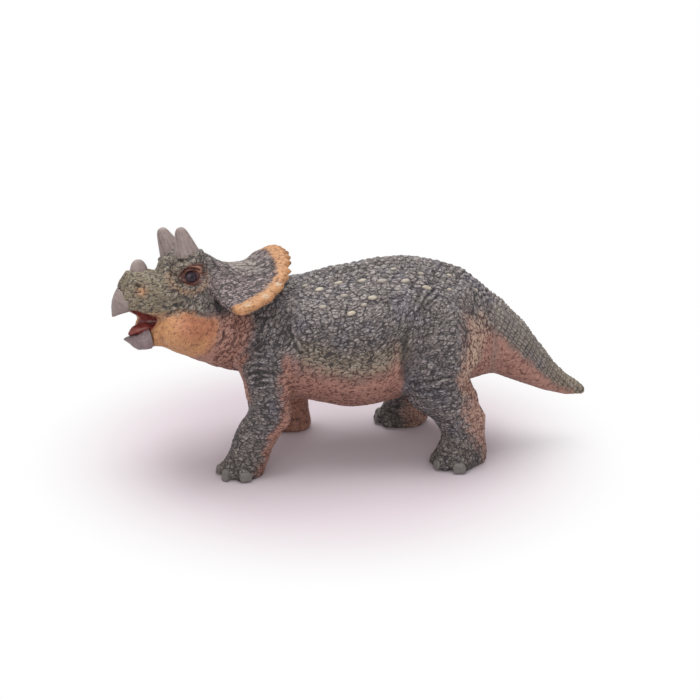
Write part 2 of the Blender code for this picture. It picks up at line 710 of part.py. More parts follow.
def upper_beak(material):
    rings = [section((along * HEAD_LENGTH, 0, up * HEAD_DEPTH), Vector((0, 1, 0)), Vector((1, 0, 0)),
                     wide * HEAD_WIDTH, long * HEAD_LENGTH, BODY_SIDES)
             for up, along, long, wide in UPPER_BEAK_SHARES]
    body = in_head(loft("upper_beak", rings))
    point, normal = face_plane(MUZZLE_FACE_SHARES)
    trim(body, point + normal * PIECE_GAP, -normal)
    add(body, head_peg("muzzle_peg", MUZZLE_PEG_SHARES))
    keep_part(body, "upper_beak", material, head_frame)


def lower_beak(material):
    body = in_head(loft("lower_beak", skull_rings(LOWER_BEAK_SHARES)))
    point, normal = face_plane(JAW_FACE_SHARES)
    trim(body, point + normal * PIECE_GAP, -normal)
    cut(body, mouth_ball("mouth_hollow", 0.0))
    cut(body, tongue("tongue_bed", PIECE_GAP))
    add(body, head_peg("jaw_peg", JAW_PEG_SHARES))
    keep_part(body, "lower_beak", material, head_frame)


def lower_jaw(material):
    body = head_form("lower_jaw", 0.0)
    outline = mouth_outline(JAW_TOP_SHARES, -PIECE_GAP / 2)
    combine(body, in_head(prism("jaw_region", outline, HEAD_WIDTH)), 'INTERSECT')
    point, normal = face_plane(JAW_FACE_SHARES)
    trim(body, point, normal)
    cut(body, mouth_ball("mouth_hollow", 0.0))
    cut(body, head_peg("jaw_peg_slot", JAW_PEG_SHARES, PIECE_GAP))
    cut(body, tongue("tongue_bed", PIECE_GAP))
    add(body, head_peg("jaw_tab", JAW_TAB_SHARES))
    keep_part(body, "lower_jaw", material, head_frame)


def head(material):
    body = head_form("head", 0.0)
    outline = mouth_outline(LIP_SHARES, PIECE_GAP / 2)
    cut(body, in_head(prism("mouth_region", outline, HEAD_WIDTH)))
    point, normal = face_plane(MUZZLE_FACE_SHARES)
    trim(body, point, normal)
    cut(body, mouth_ball("mouth_hollow", 0.0))
    cut(body, head_peg("muzzle_slot", MUZZLE_PEG_SHARES, PIECE_GAP))
    cut(body, head_peg("jaw_tab_slot", JAW_TAB_SHARES, PIECE_GAP))
    cut(body, head_peg("frill_slot", FRILL_TAB_SHARES, PIECE_GAP))
    for side in (-1, 1):
        cut(body, brow_horn("horn_seat", side, PIECE_GAP))
        cut(body, eye("eye_socket", side, PIECE_GAP))
    cut(body, nose_horn("nose_horn_seat", PIECE_GAP))
    add(body, end_plug("neck_plug", NECK_SEAM, -1, NECK_PLUG_WIDTH))
    keep_part(body, "head", material, head_frame)


def mouth_lining(material):
    body = mouth_ball("mouth_lining", PIECE_GAP)
    cut(body, mouth_ball("mouth_space", PIECE_GAP + MOUTH_LINING))
    outline = mouth_outline(LIP_SHARES, PIECE_GAP / 2)
    cut(body, in_head(prism("mouth_region", outline, HEAD_WIDTH)))
    keep_part(body, "mouth_lining", material, head_frame)


def frill(material):
    rows = smooth_rows([(*root_end, *rim_end) for root_end, rim_end in FRILL_SHARES], FRILL_STEPS)
    scale = np.array((FRILL_REACH, FRILL_WIDTH, FRILL_RISE) * 2)
    rows = rows * scale
    places = np.linspace(0, 1, len(rows))
    mesh = bmesh.new()
    grid = []
    for column in range(FRILL_COLUMNS + 1):
        across = 2 * column / FRILL_COLUMNS - 1
        ends = [np.interp(abs(across), places, rows[:, item]) for item in range(6)]
        inner, outer = Vector(ends[:3]), Vector(ends[3:])
        outward = (outer - inner).normalized()
        wave = abs(math.sin(math.pi * FRILL_SCALLOP_COUNT * (across + 1) / 2))
        outer += outward * (FRILL_SCALLOP * wave)
        strip = []
        for row in range(FRILL_ROWS + 1):
            share = row / FRILL_ROWS
            point = inner.lerp(outer, share)
            point.z -= FRILL_DIP_SHARE * FRILL_RISE * math.sin(math.pi * share)
            point.y = math.copysign(point.y, across) if across else 0.0
            strip.append(mesh.verts.new(point))
        grid.append(strip)
    for near, far in zip(grid, grid[1:]):
        for row in range(FRILL_ROWS):
            mesh.faces.new((near[row], near[row + 1], far[row + 1], far[row]))
    body = in_head(body_from("frill", mesh))
    shell = body.modifiers.new("thickness", 'SOLIDIFY')
    shell.thickness = FRILL_THICKNESS
    shell.offset = 0.0
    smooth = body.modifiers.new("smooth", 'SUBSURF')
    smooth.levels = smooth.render_levels = 1
    settle(body)
    cut(body, head_form("head_clearance", PIECE_GAP))
    add(body, head_peg("frill_tab", FRILL_TAB_SHARES))
    keep_part(body, "frill", material, head_frame)


bpy.context.scene.collection.children.link(part_collection)
bpy.context.scene.collection.children.link(cutter_collection)
root = bpy.data.objects.new("toy_dinosaur_origin", None)
head_frame = bpy.data.objects.new("head_frame", None)
head_place = (Matrix.Translation(HEAD_PLACE) @ Matrix.Rotation(HEAD_TURN, 4, 'Z')
              @ Matrix.Rotation(HEAD_ROLL, 4, 'X'))
for empty in (root, head_frame):
    part_collection.objects.link(empty)
head_frame.matrix_world = head_place
head_frame.parent = root
bpy.context.view_layer.update()

skin = finish("grey_skin", SKIN_GREY, SKIN_ROUGHNESS)
brown = finish("brown_skin", SKIN_BROWN, SKIN_ROUGHNESS)
orange = finish("orange_skin", SKIN_ORANGE, SKIN_ROUGHNESS)
horn = finish("horn_grey", HORN_GREY, HORN_ROUGHNESS)
red = finish("mouth_red", MOUTH_RED, MOUTH_ROUGHNESS)
dark = finish("eye_dark", EYE_DARK, EYE_ROUGHNESS)

trunk_half("torso_left_half", -1, skin)
trunk_half("torso_right_half", 1, skin)
tail(brown)
limb("left_foreleg", -1, LEFT_FORE_SHARES, SHOULDER_X, FORELEG_HEIGHT, FORELEG_GIRTH, LEFT_FORE_STEP,
     FORE_TOE_ANGLES, FORE_PLUG_HEIGHT, skin)
limb("right_foreleg", 1, RIGHT_FORE_SHARES, SHOULDER_X, FORELEG_HEIGHT, FORELEG_GIRTH, RIGHT_FORE_STEP,
     FORE_TOE_ANGLES, FORE_PLUG_HEIGHT, skin)
limb("left_hind_leg", -1, LEFT_HIND_SHARES, HIP_X, HINDLEG_HEIGHT, HINDLEG_GIRTH, LEFT_HIND_STEP,
     HIND_TOE_ANGLES, HIND_PLUG_HEIGHT, skin)
limb("right_hind_leg", 1, RIGHT_HIND_SHARES, HIP_X, HINDLEG_HEIGHT, HINDLEG_GIRTH, RIGHT_HIND_STEP,
     HIND_TOE_ANGLES, HIND_PLUG_HEIGHT, skin)
head(skin)
frill(orange)
upper_beak(horn)
lower_beak(horn)
lower_jaw(orange)
mouth_lining(red)
keep_part(tongue("tongue", 0.0), "tongue", red, head_frame)
keep_part(nose_horn("nose_horn", 0.0), "nose_horn", horn, head_frame)
for side, word in ((-1, "left"), (1, "right")):
    keep_part(brow_horn(word, side, 0.0), word + "_brow_horn", horn, head_frame)
    keep_part(eye(word, side, 0.0), word + "_eye", dark, head_frame)

# The origin goes to the middle of the figure's box, on the ground.
bpy.context.view_layer.update()
corners = [body.matrix_world @ vertex.co for body in part_collection.objects if body.type == 'MESH'
           for vertex in body.data.vertices]
low = [min(point[axis] for point in corners) for axis in range(3)]
high = [max(point[axis] for point in corners) for axis in range(3)]
root.location = (-(low[0] + high[0]) / 2, -(low[1] + high[1]) / 2, -low[2])
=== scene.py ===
import math

import bmesh
import bpy
import numpy as np
from mathutils import Matrix, Vector
from mathutils.bvhtree import BVHTree


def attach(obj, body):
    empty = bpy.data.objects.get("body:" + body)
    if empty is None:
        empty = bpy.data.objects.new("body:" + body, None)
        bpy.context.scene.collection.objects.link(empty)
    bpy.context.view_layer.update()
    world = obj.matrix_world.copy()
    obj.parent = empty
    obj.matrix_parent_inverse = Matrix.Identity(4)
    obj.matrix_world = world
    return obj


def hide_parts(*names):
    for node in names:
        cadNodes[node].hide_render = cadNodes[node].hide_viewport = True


# Shapes are worked out in millimetres and written to the meshes in metres.
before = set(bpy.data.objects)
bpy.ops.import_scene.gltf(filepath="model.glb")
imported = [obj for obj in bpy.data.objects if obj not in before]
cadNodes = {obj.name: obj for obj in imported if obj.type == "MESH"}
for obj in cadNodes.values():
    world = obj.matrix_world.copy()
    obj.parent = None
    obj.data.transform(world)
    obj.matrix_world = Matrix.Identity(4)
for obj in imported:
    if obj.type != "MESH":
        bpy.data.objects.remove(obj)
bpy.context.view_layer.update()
millimetre = 0.001
mergeGap = 1e-6
print("frame loaded:", len(cadNodes), "nodes")


def paint(red, green, blue):  # a colour from the paint chart, 0 to 255, as the shader wants it
    shares = (value / 255 for value in (red, green, blue))
    return tuple(((share + 0.055) / 1.055) ** 2.4 for share in shares) + (1.0,)


def ramp(value, start, end):
    share = np.clip((value - start) / (end - start), 0, 1)
    return share * share * (3 - 2 * share)


def hump(gap, width):
    return np.exp(-(gap / width) ** 2)


def columns(*values):
    return np.stack(values, 1)


def newObject(name, mesh):
    item = bpy.data.objects.new(name, mesh)
    bpy.context.scene.collection.objects.link(item)
    return item


def pickOnly(item=None):
    if bpy.context.mode != 'OBJECT':
        bpy.ops.object.mode_set(mode='OBJECT')
    bpy.ops.object.select_all(action='DESELECT')
    if item:
        item.select_set(True)
        bpy.context.view_layer.objects.active = item


def applyModifier(item, kind, **settings):
    pickOnly(item)
    modifier = item.modifiers.new(kind, kind)
    for name, value in settings.items():
        setattr(modifier, name, value)
    bpy.ops.object.modifier_apply(modifier=modifier.name)


def readArray(items, name, width, kind=np.float32):
    flat = np.empty(len(items) * width, kind)
    items.foreach_get(name, flat)
    return flat.reshape(-1, width)


def readPoints(mesh):
    return readArray(mesh.vertices, "co", 3).astype(float) / millimetre


def readNormals(mesh):
    return readArray(mesh.vertex_normals, "vector", 3).astype(float)


def readEdges(mesh):
    return readArray(mesh.edges, "vertices", 2, np.int32)


def writePoints(mesh, points):
    mesh.vertices.foreach_set("co", (points * millimetre).astype(np.float32).ravel())
    mesh.update()


def shadeSmooth(mesh):
    mesh.polygons.foreach_set("use_smooth", np.ones(len(mesh.polygons), bool))


def keepValue(mesh, name, values):
    mesh.attributes.new(name, 'FLOAT', 'POINT').data.foreach_set("value", np.asarray(values, np.float32))


def readValue(mesh, name):
    return readArray(mesh.attributes[name].data, "value", 1).astype(float).ravel()


# Shader nodes

def feed(tree, value, socket):  # a link from another socket, or a plain value
    if isinstance(value, bpy.types.NodeSocket):
        tree.links.new(value, socket)
    else:
        socket.default_value = value


def newNode(tree, kind, inputs=None, **settings):
    node = tree.nodes.new(kind)
    for name, value in settings.items():
        setattr(node, name, value)
    for name, value in (inputs or {}).items():
        feed(tree, value, node.inputs[name])
    return node


def newMaterial(name):
    finish = bpy.data.materials.new(name)
    finish.use_nodes = True
    return finish, finish.node_tree, finish.node_tree.nodes["Principled BSDF"]


def objectPlace(tree):
    return newNode(tree, "ShaderNodeTexCoord").outputs["Object"]


def colourMix(tree, first, second, amount):
    return newNode(tree, "ShaderNodeMix", {0: amount, 6: first, 7: second}, data_type='RGBA').outputs[2]


def valueRange(tree, value, fromMin, fromMax, toMin=0.0, toMax=1.0, **settings):
    limits = {"From Min": fromMin, "From Max": fromMax, "To Min": toMin, "To Max": toMax}
    return newNode(tree, "ShaderNodeMapRange", {"Value": value, **limits}, **settings).outputs["Result"]


def valueMath(tree, operation, *values):
    result, *others = values
    for value in others:
        result = newNode(tree, "ShaderNodeMath", {0: result, 1: value}, operation=operation).outputs[0]
    return result


def noise(tree, place, scale, detail=3.0, roughness=0.6, output="Fac"):
    inputs = {"Vector": place, "Scale": scale, "Detail": detail, "Roughness": roughness}
    return newNode(tree, "ShaderNodeTexNoise", inputs).outputs[output]


def field(tree, name):
    return newNode(tree, "ShaderNodeAttribute", attribute_name=name).outputs["Fac"]


# Camera, light and floor

studio = {
    "azimuth": -5.0, "elevation": 20.0, "distance": 0.430, "lens": 85.6, "sensor": 36.0, "nearest": 0.001,
    "target": (-0.0010, 0.00115, 0.0265),
    "skyStrength": 0.66, "skyColour": (1.0, 0.965, 0.985, 1.0),
    "keyPlace": (-0.08, 0.15, 0.80), "keySize": 0.62, "keyPower": 5.4,
    "fillPlace": (-0.10, -0.75, 0.42), "fillSize": 0.60, "fillPower": 2.2,
    "floorSize": 6.0, "floorShadowTint": (0.572, 0.510, 0.540, 1.0), "floorRoughness": 0.9, "floorGloss": 0.1,
    "shadowMiddle": (-0.007, 0.0, 0.0), "floorNear": 0.036, "floorFar": 0.081,
}


def showWhite(tree, surface, whiteKind, otherRay, share, end):  # plain white where only the camera looks
    rays = newNode(tree, "ShaderNodeLightPath").outputs
    seen = valueMath(tree, 'MULTIPLY', valueMath(tree, 'MAXIMUM', rays["Is Camera Ray"], rays[otherRay]), share)
    white = newNode(tree, whiteKind).outputs[0]
    mix = newNode(tree, "ShaderNodeMixShader", {0: seen, 1: surface, 2: white})
    feed(tree, mix.outputs[0], tree.nodes[end].inputs["Surface"])


def makeStudio():
    scene = bpy.context.scene
    azimuth, elevation = math.radians(studio["azimuth"]), math.radians(studio["elevation"])
    back = Vector((math.sin(azimuth) * math.cos(elevation), -math.cos(azimuth) * math.cos(elevation),
                   math.sin(elevation)))
    lens = bpy.data.cameras.new("photoCamera")
    lens.lens, lens.sensor_width, lens.clip_start = studio["lens"], studio["sensor"], studio["nearest"]
    scene.camera = newObject("photoCamera", lens)
    scene.camera.location = Vector(studio["target"]) + back * studio["distance"]
    scene.camera.rotation_euler = back.to_track_quat('Z', 'Y').to_euler()
    scene.view_settings.view_transform = 'Standard'
    for name in ("key", "fill"):
        lamp = bpy.data.lights.new(name + "Light", 'AREA')
        lamp.size, lamp.energy = studio[name + "Size"], studio[name + "Power"]
        holder = newObject(name + "Light", lamp)
        holder.location = studio[name + "Place"]
        holder.rotation_euler = Vector(studio[name + "Place"]).to_track_quat('Z', 'Y').to_euler()
    scene.world = bpy.data.worlds.new("paleRoom")
    scene.world.use_nodes = True
    tree = scene.world.node_tree
    sky = tree.nodes["Background"]
    feed(tree, studio["skyColour"], sky.inputs["Color"])
    feed(tree, studio["skyStrength"], sky.inputs["Strength"])
    showWhite(tree, sky.outputs[0], "ShaderNodeBackground", "Is Transmission Ray", 1.0, "World Output")


def makeFloor():  # the floor painted mauve grey round the figure, a soft painted shadow pool that fades to white further out
    pickOnly()
    bpy.ops.mesh.primitive_plane_add(size=studio["floorSize"], location=(0, 0, 0))
    floor = bpy.context.active_object
    floor.name = "paleFloor"
    finish, tree, shadowedFloor = newMaterial("floorPaintedShadow")
    feed(tree, studio["floorShadowTint"], shadowedFloor.inputs["Base Color"])
    feed(tree, studio["floorRoughness"], shadowedFloor.inputs["Roughness"])
    feed(tree, studio["floorGloss"], shadowedFloor.inputs["Specular IOR Level"])
    reach = newNode(tree, "ShaderNodeVectorMath", {0: objectPlace(tree), 1: studio["shadowMiddle"]},
                    operation='DISTANCE').outputs["Value"]
    away = valueRange(tree, reach, studio["floorNear"], studio["floorFar"], interpolation_type='SMOOTHSTEP')
    showWhite(tree, shadowedFloor.outputs[0], "ShaderNodeEmission", "Is Glossy Ray", away, "Material Output")
    floor.data.materials.append(finish)


makeStudio()
makeFloor()
print("studio ready")


# Scale and wrinkle patterns

hashPrimes = np.array([73856093, 19349663, 83492791], np.uint32)
hashMixers = ((16, 2246822519), (13, 3266489917))


def cellCode(cell, seed):  # a fixed random number for each cell of a grid
    own = cell.astype(np.uint32) * hashPrimes
    code = own[..., 0] ^ own[..., 1] ^ own[..., 2] ^ np.uint32(seed * 9973 + 12345)
    for shift, factor in hashMixers:
        code = (code ^ (code >> np.uint32(shift))) * np.uint32(factor)
    return code ^ (code >> np.uint32(16))


def codeShare(code, low, bits):  # some bits of a code, as a share from 0 to 1
    top = (1 << bits) - 1
    return (code >> np.uint32(low) & np.uint32(top)) / top


def softNoise(points, seed):  # smooth values from 0 to 1
    cell = np.floor(points).astype(np.int64)
    inside = points - cell
    inside = inside * inside * (3 - 2 * inside)
    total = np.zeros(len(points))
    for corner in range(8):
        offset = np.array([corner & 1, corner >> 1 & 1, corner >> 2 & 1])
        weight = np.prod(np.where(offset, inside, 1 - inside), axis=1)
        total += weight * codeShare(cellCode(cell + offset, seed), 0, 16)
    return total


def scales(points, size, seed, jitter, crease):  # the rise and the shade of scales parted by creases
    spot = points / np.asarray(size)
    cell = np.floor(spot).astype(np.int64)
    nearest = np.full(len(points), 9.0)
    second = nearest.copy()
    mark = np.zeros(len(points))
    for index in range(27):
        offset = np.array([index % 3 - 1, index // 3 % 3 - 1, index // 9 - 1])
        code = cellCode(cell + offset, seed)
        inside = columns(*(codeShare(code, low, 10) for low in (0, 10, 20)))
        gap = np.linalg.norm(offset + 0.5 + (inside - 0.5) * jitter - (spot - cell), axis=1)
        closer = gap < nearest
        second = np.where(closer, nearest, np.minimum(second, gap))
        mark = np.where(closer, codeShare(code, 0, 8), mark)
        nearest = np.where(closer, gap, nearest)
    step = (second - nearest) / crease
    rise = 1 - (1 - np.clip(step, 0, 1)) ** 2
    edge = hump(step - 1.15, 0.55)  # worn light where a scale turns down
    return rise * (0.72 + 0.28 * mark), rise * (0.48 + 0.26 * edge + 0.14 * mark)


def wander(points, scale, amount, seed):  # the points pushed about, so that scales lose their grid
    push = columns(*(softNoise(points / scale, seed + axis) for axis in range(3)))
    return points + (push - 0.5) * 2 * amount


def crinkle(points, size, seed):  # meandering ridges, 0 to 1
    first = softNoise(points / np.asarray(size), seed)
    finer = softNoise(points / (np.asarray(size) * 0.55), seed + 7)
    return 1 - np.clip(np.abs(first * 0.65 + finer * 0.35 - 0.5) * 6, 0, 1)


def smoothLine(points, steps=6):
    line = np.array(points, float)
    ends = np.vstack([2 * line[0] - line[1], line, 2 * line[-1] - line[-2]])
    path = []
    for a, b, c, d in zip(ends, ends[1:], ends[2:], ends[3:]):
        for t in np.arange(steps) / steps:
            path.append(0.5 * (2 * b + (c - a) * t + (2 * a - 5 * b + 4 * c - d) * t * t
                               + (3 * b - a - 3 * c + d) * t ** 3))
    return np.array(path + [line[-1]])


def lineGap(points, line):  # distance to a line, the place along it, and its length
    best, place, run = np.full(len(points), 1e9), np.zeros(len(points)), 0.0
    for start, end in zip(line, line[1:]):
        step = end - start
        length = np.linalg.norm(step)
        share = np.clip((points - start) @ step / length ** 2, 0, 1)
        gap = np.linalg.norm(points - start - share[:, None] * step, axis=1)
        place = np.where(gap < best, run + share * length, place)
        best = np.minimum(best, gap)
        run += length
    return best, place, run


# The hide: one skin over all the moulded halves, limbs and head, parted again into pieces at the end

hideParts = {
    "torso_left_half": ("hideLeftFlank", "skin_grey"),
    "torso_right_half": ("hideRightFlank", "skin_grey"),
    "tail": ("hideTail", "skin_rosy"),
    "left_foreleg": ("hideLeftForeleg", "skin_grey"),
    "right_foreleg": ("hideRightForeleg", "skin_grey"),
    "left_hind_leg": ("hideLeftHindLeg", "skin_grey"),
    "right_hind_leg": ("hideRightHindLeg", "skin_grey"),
    "head": ("hideHead", "skin_grey"),
    "frill": ("hideFrill", "skin_orange"),
    "lower_jaw": ("hideLowerJaw", "skin_orange"),
}
hideMesh = {
    "closeGap": 0.25, "voxel": 0.42, "evenRounds": 7, "blendRounds": 55, "blend": 0.5,
    "reach": {"tail": 3.0, "left_foreleg": 3.2, "right_foreleg": 3.2, "left_hind_leg": 3.2,
              "right_hind_leg": 3.2, "head": 2.6, "lower_jaw": 2.0},  # how far a joint to the trunk is blended
    "faceReach": 1.3,
}
headPlace = {"seat": (-0.0281, -0.00085, 0.0401), "turn": math.radians(18), "roll": math.radians(-12)}
headMatrix = (Matrix.Translation(headPlace["seat"]) @ Matrix.Rotation(headPlace["turn"], 4, 'Z')
              @ Matrix.Rotation(headPlace["roll"], 4, 'X'))
headTurn = np.array(headMatrix.to_3x3())
headSeat = np.array(headPlace["seat"]) / millimetre


def toHead(points):  # along, across and up in the head's own frame
    return (points - headSeat) @ headTurn


def relax(points, edges, weight, rounds):
    count = np.maximum(np.bincount(edges.ravel(), minlength=len(points)), 1)
    for _ in range(rounds):
        around = columns(*(np.bincount(edges[:, 0], points[edges[:, 1], axis], len(points))
                           + np.bincount(edges[:, 1], points[edges[:, 0], axis], len(points)) for axis in range(3)))
        points = points + weight * (around / count[:, None] - points)
    return points


def evenOut(points, edges, rounds):  # smooths without shrinking
    for _ in range(rounds):
        points = relax(relax(points, edges, 0.50, 1), edges, -0.52, 1)
    return points


def dropIslands(body):  # only the largest piece of the skin stays
    islands, seen = [], set()
    for vertex in body.verts:
        if vertex in seen:
            continue
        seen.add(vertex)
        group = [vertex]
        for member in group:
            others = {end for edge in member.link_edges for end in edge.verts} - seen
            seen |= others
            group += others
        islands.append(group)
    islands.sort(key=len)
    for group in islands[:-1]:
        bmesh.ops.delete(body, geom=group, context='VERTS')


def coverNodes(name, nodes, voxel, swell=0.0):  # one voxel skin over merged copies of the moulded parts
    mesh = bpy.data.meshes.new(name)
    body = bmesh.new()
    for node in nodes:
        body.from_mesh(cadNodes[node].data)
    bmesh.ops.remove_doubles(body, verts=body.verts, dist=mergeGap)
    body.normal_update()
    for vertex in body.verts:
        vertex.co += vertex.normal * swell * millimetre
    body.to_mesh(mesh)
    body.free()
    item = newObject(name, mesh)
    applyModifier(item, 'REMESH', mode='VOXEL', voxel_size=voxel * millimetre)
    return item


def coverHide():
    hide = coverNodes("wholeHide", hideParts, hideMesh["voxel"], hideMesh["closeGap"])
    mesh = hide.data
    body = bmesh.new()
    body.from_mesh(mesh)
    dropIslands(body)
    body.to_mesh(mesh)
    body.free()
    edges = readEdges(mesh)
    points = evenOut(readPoints(mesh) - readNormals(mesh) * hideMesh["closeGap"], edges, hideMesh["evenRounds"])
    near = {}
    for node in hideParts:
        data = cadNodes[node].data
        tree = BVHTree.FromPolygons([v.co / millimetre for v in data.vertices],
                                    [list(p.vertices) for p in data.polygons])
        near[node] = np.array([tree.find_nearest(Vector(p))[3] for p in points])
    trunk = np.minimum(near["torso_left_half"], near["torso_right_half"])
    joint = np.zeros(len(points))
    for node, reach in hideMesh["reach"].items():
        joint = np.maximum(joint, 1 - np.maximum(trunk, near[node]) / reach)
    along, _, up = toHead(points).T
    for node, where in (("lower_jaw", ramp(along, -25, -21)), ("frill", up > 5)):
        meeting = 1 - np.maximum(near["head"], near[node]) / hideMesh["faceReach"]
        joint = np.maximum(joint, meeting * where)
    joint = np.clip(joint * 1.6, 0, 1)[:, None] * hideMesh["blend"]
    writePoints(mesh, relax(points, edges, joint, hideMesh["blendRounds"]))
    for node, gap in near.items():
        keepValue(mesh, node, gap)
    applyModifier(hide, 'SUBSURF', levels=1, render_levels=1)
    return hide


hide = coverHide()
print("hide covered:", len(hide.data.vertices), "points")


# Where each part of the body is

def slices(node, axis, step):  # level, middle, top point and half size of a moulding, slice by slice
    points = readPoints(cadNodes[node].data)
    rows = []
    for level in np.arange(points[:, axis].min(), points[:, axis].max(), step):
        band = points[np.abs(points[:, axis] - level) < step]
        if len(band) > 3:
            rows.append([level, *(band.min(0) + band.max(0)) / 2, *band[band[:, 2].argmax()]])
    return np.array(rows)


def legShift(kind):  # how far the far leg of a pair stands behind the near one
    right, left = (np.interp(z, *slices(side + kind, 2, 1.6)[:, :2].T) for side in ("right_", "left_"))
    return np.where(farSide, right - left, 0)


points = readPoints(hide.data)
normals = readNormals(hide.data)
x, y, z = points.T
head = toHead(points)
along, across, up = head.T
cheekSide = np.abs(across)
sideways = ramp(np.abs(normals[:, 1]), 0.15, 0.45)
farSide = y > 1.1
near = {node: readValue(hide.data, node) for node in hideParts}
pull = {node: np.exp(-gap / 0.7) for node, gap in near.items()}
allPull = sum(pull.values()) + 1e-9
part = {node: value / allPull for node, value in pull.items()}
onTrunk = part["torso_left_half"] + part["torso_right_half"]
onHead, onJaw, onFrill, onTail = part["head"], part["lower_jaw"], part["frill"], part["tail"]
onSkull = onHead + onJaw
onMuzzle = np.clip(onSkull, 0, 1)
onFore = part["left_foreleg"] + part["right_foreleg"]
onHind = part["left_hind_leg"] + part["right_hind_leg"]
hindPlane = columns(x - legShift("hind_leg"), z)
forePlane = columns(x - legShift("foreleg"), z)

# Relief of each zone: height in mm, and the same from 0 to 1 for the paint

relief = {  # scale size along three axes and depth, mm
    "flank": (1.45, 1.25, 0.92, 0.27),
    "shoulder": (0.85, 1.10, 1.75, 0.27),
    "back": (1.95, 1.50, 1.15, 0.42),
    "rump": (0.80, 1.00, 1.80, 0.27),
    "belly": (0.95, 0.95, 0.85, 0.12),
    "thigh": (1.55, 1.30, 0.82, 0.27),
    "leg": (1.90, 1.80, 0.60, 0.20),
    "foot": (1.05, 1.05, 0.80, 0.22),
    "tail": (1.55, 1.35, 9.0, 0.30),
    "tailUnder": (1.30, 1.30, 1.30, 0.07),
    "snout": (0.85, 0.85, 0.80, 0.15),
    "cheek": (2.30, 0.74, 1.60, 0.24),
    "crown": (1.00, 0.95, 0.95, 0.20),
    "frill": (1.10, 0.80, 0.80, 0.17),
    "frillTop": (2.80, 0.80, 0.80, 0.20),
    "rim": (1.10, 1.10, 1.00, 0.12),
    "jowl": (0.72, 0.72, 0.66, 0.06),
    "throat": (0.95, 0.95, 1.10, 0.14),
}
height = np.zeros(len(points))
tone = np.zeros(len(points))
share = np.zeros(len(points))


def addZone(name, weight, place, seed, jitter=0.9, crease=0.30, ridge=0.40, stray=0.42, cracks=0.40):
    live = weight > 0.02
    *size, depth = relief[name]
    spot = wander(place[live], 1.5, stray, seed)
    rise, shade = scales(spot, size, seed, jitter, crease)
    light = crinkle(spot, size, seed + 3)
    dark = crinkle(spot + 40, size, seed + 5)
    crack = crinkle(spot + 80, np.asarray(size) * 2.3, seed + 9) ** 3  # longer creases across the scales
    rise = rise * (1 - 0.5 * ridge) + (light - dark) * 0.5 * ridge - cracks * crack
    height[live] += weight[live] * rise * depth
    tone[live] += weight[live] * np.clip(shade + ridge * (0.50 * light - 0.70 * dark) - cracks * crack, 0, 1)
    share[live] += weight[live]


bellyLine = np.interp(x, [-24, -17.3, -9.9, -2.5, 4.9, 9.9, 13], [33.0, 30.8, 29.2, 27.3, 28.3, 31.0, 33.5])
onBack = ramp(z, 41.5, 45.5)
onBelly = ramp(z, bellyLine + 2.0, bellyLine - 3.5)
onShoulder = ramp(x, -13.0, -16.5) * (1 - onBack) * (1 - onBelly)
onRump = ramp(x, 23.0, 26.0) * ramp(z, 46, 43)
onFoot = ramp(z, 9.5, 6.0)
onThigh = ramp(z, 23, 27)
onArmTop = ramp(z, 31, 34)
flankFlow = z - 0.030 * np.clip(x + 5, 0, 19) ** 2 + 0.050 * np.clip(x + 8, -14, 0) ** 2
legFlow = z - 0.40 * (x - 20) * ramp(z, 22, 28) - 0.14 * (x - 20) * ramp(z, 28, 22)
slope = 0.60  # the shoulder's wrinkles climb backwards
climbing = columns(x * math.cos(slope) - z * math.sin(slope), y, x * math.sin(slope) + z * math.cos(slope))
addZone("back", onTrunk * onBack * (1 - onRump), points, 11, ridge=0.30)
addZone("flank", onTrunk * (1 - onBack) * (1 - onBelly) * (1 - onShoulder) * (1 - onRump),
        columns(x, y, flankFlow), 23, cracks=0.22)
addZone("shoulder", onTrunk * onShoulder, climbing, 29)
addZone("rump", onTrunk * onRump, points, 37)
addZone("belly", onTrunk * onBelly * (1 - onBack) * (1 - onShoulder) * (1 - onRump), points, 31, ridge=0.6)
addZone("thigh", onHind * onThigh * (1 - onRump), columns(x, y, legFlow), 41)
addZone("rump", onHind * onThigh * onRump, points, 39)
addZone("leg", onHind * (1 - onThigh) * (1 - onFoot), columns(x, y, legFlow), 43)
addZone("leg", onFore * (1 - onFoot) * (1 - onArmTop), points, 47)
addZone("shoulder", onFore * onArmTop, climbing, 29)
addZone("foot", (onHind + onFore) * onFoot, points, 53, ridge=0.25)

tailSkin = points[onTail > 0.5]
stations = np.arange(tailSkin[:, 0].min() + 1, tailSkin[:, 0].max() - 0.5)
bands = [tailSkin[np.abs(tailSkin[:, 0] - station) < 0.6] for station in stations]
low, high = np.array([[band.min(0), band.max(0)] for band in bands]).transpose(1, 2, 0)
middle = (low + high) / 2
tailRadius = np.interp(x, stations, (high - low)[2] / 2)
tailTurn = np.arctan2(y - np.interp(x, stations, middle[1]), z - np.interp(x, stations, middle[2])) * tailRadius
tailRun = (x - 30) * 0.80 - (z - 38) * 0.60
tailLine = np.interp(x, [28, 31.0, 34.4, 37.6, 41.0, 43.9, 46.9, 49.5, 52.6, 55.6, 58.2, 61],
                     [33.8, 34.2, 33.3, 30.8, 28.0, 25.2, 22.3, 19.4, 16.8, 14.8, 13.4, 12.0])
tailTop = ramp(z, tailLine - 0.7, tailLine + 0.5)
addZone("tail", onTail * tailTop, columns(tailRun, tailTurn, 4.5 + 0 * x), 59, jitter=0.25, crease=0.46, ridge=0.0,
        stray=0.12, cracks=0.05)
addZone("tailUnder", onTail * (1 - tailTop), points, 60, ridge=0.7)

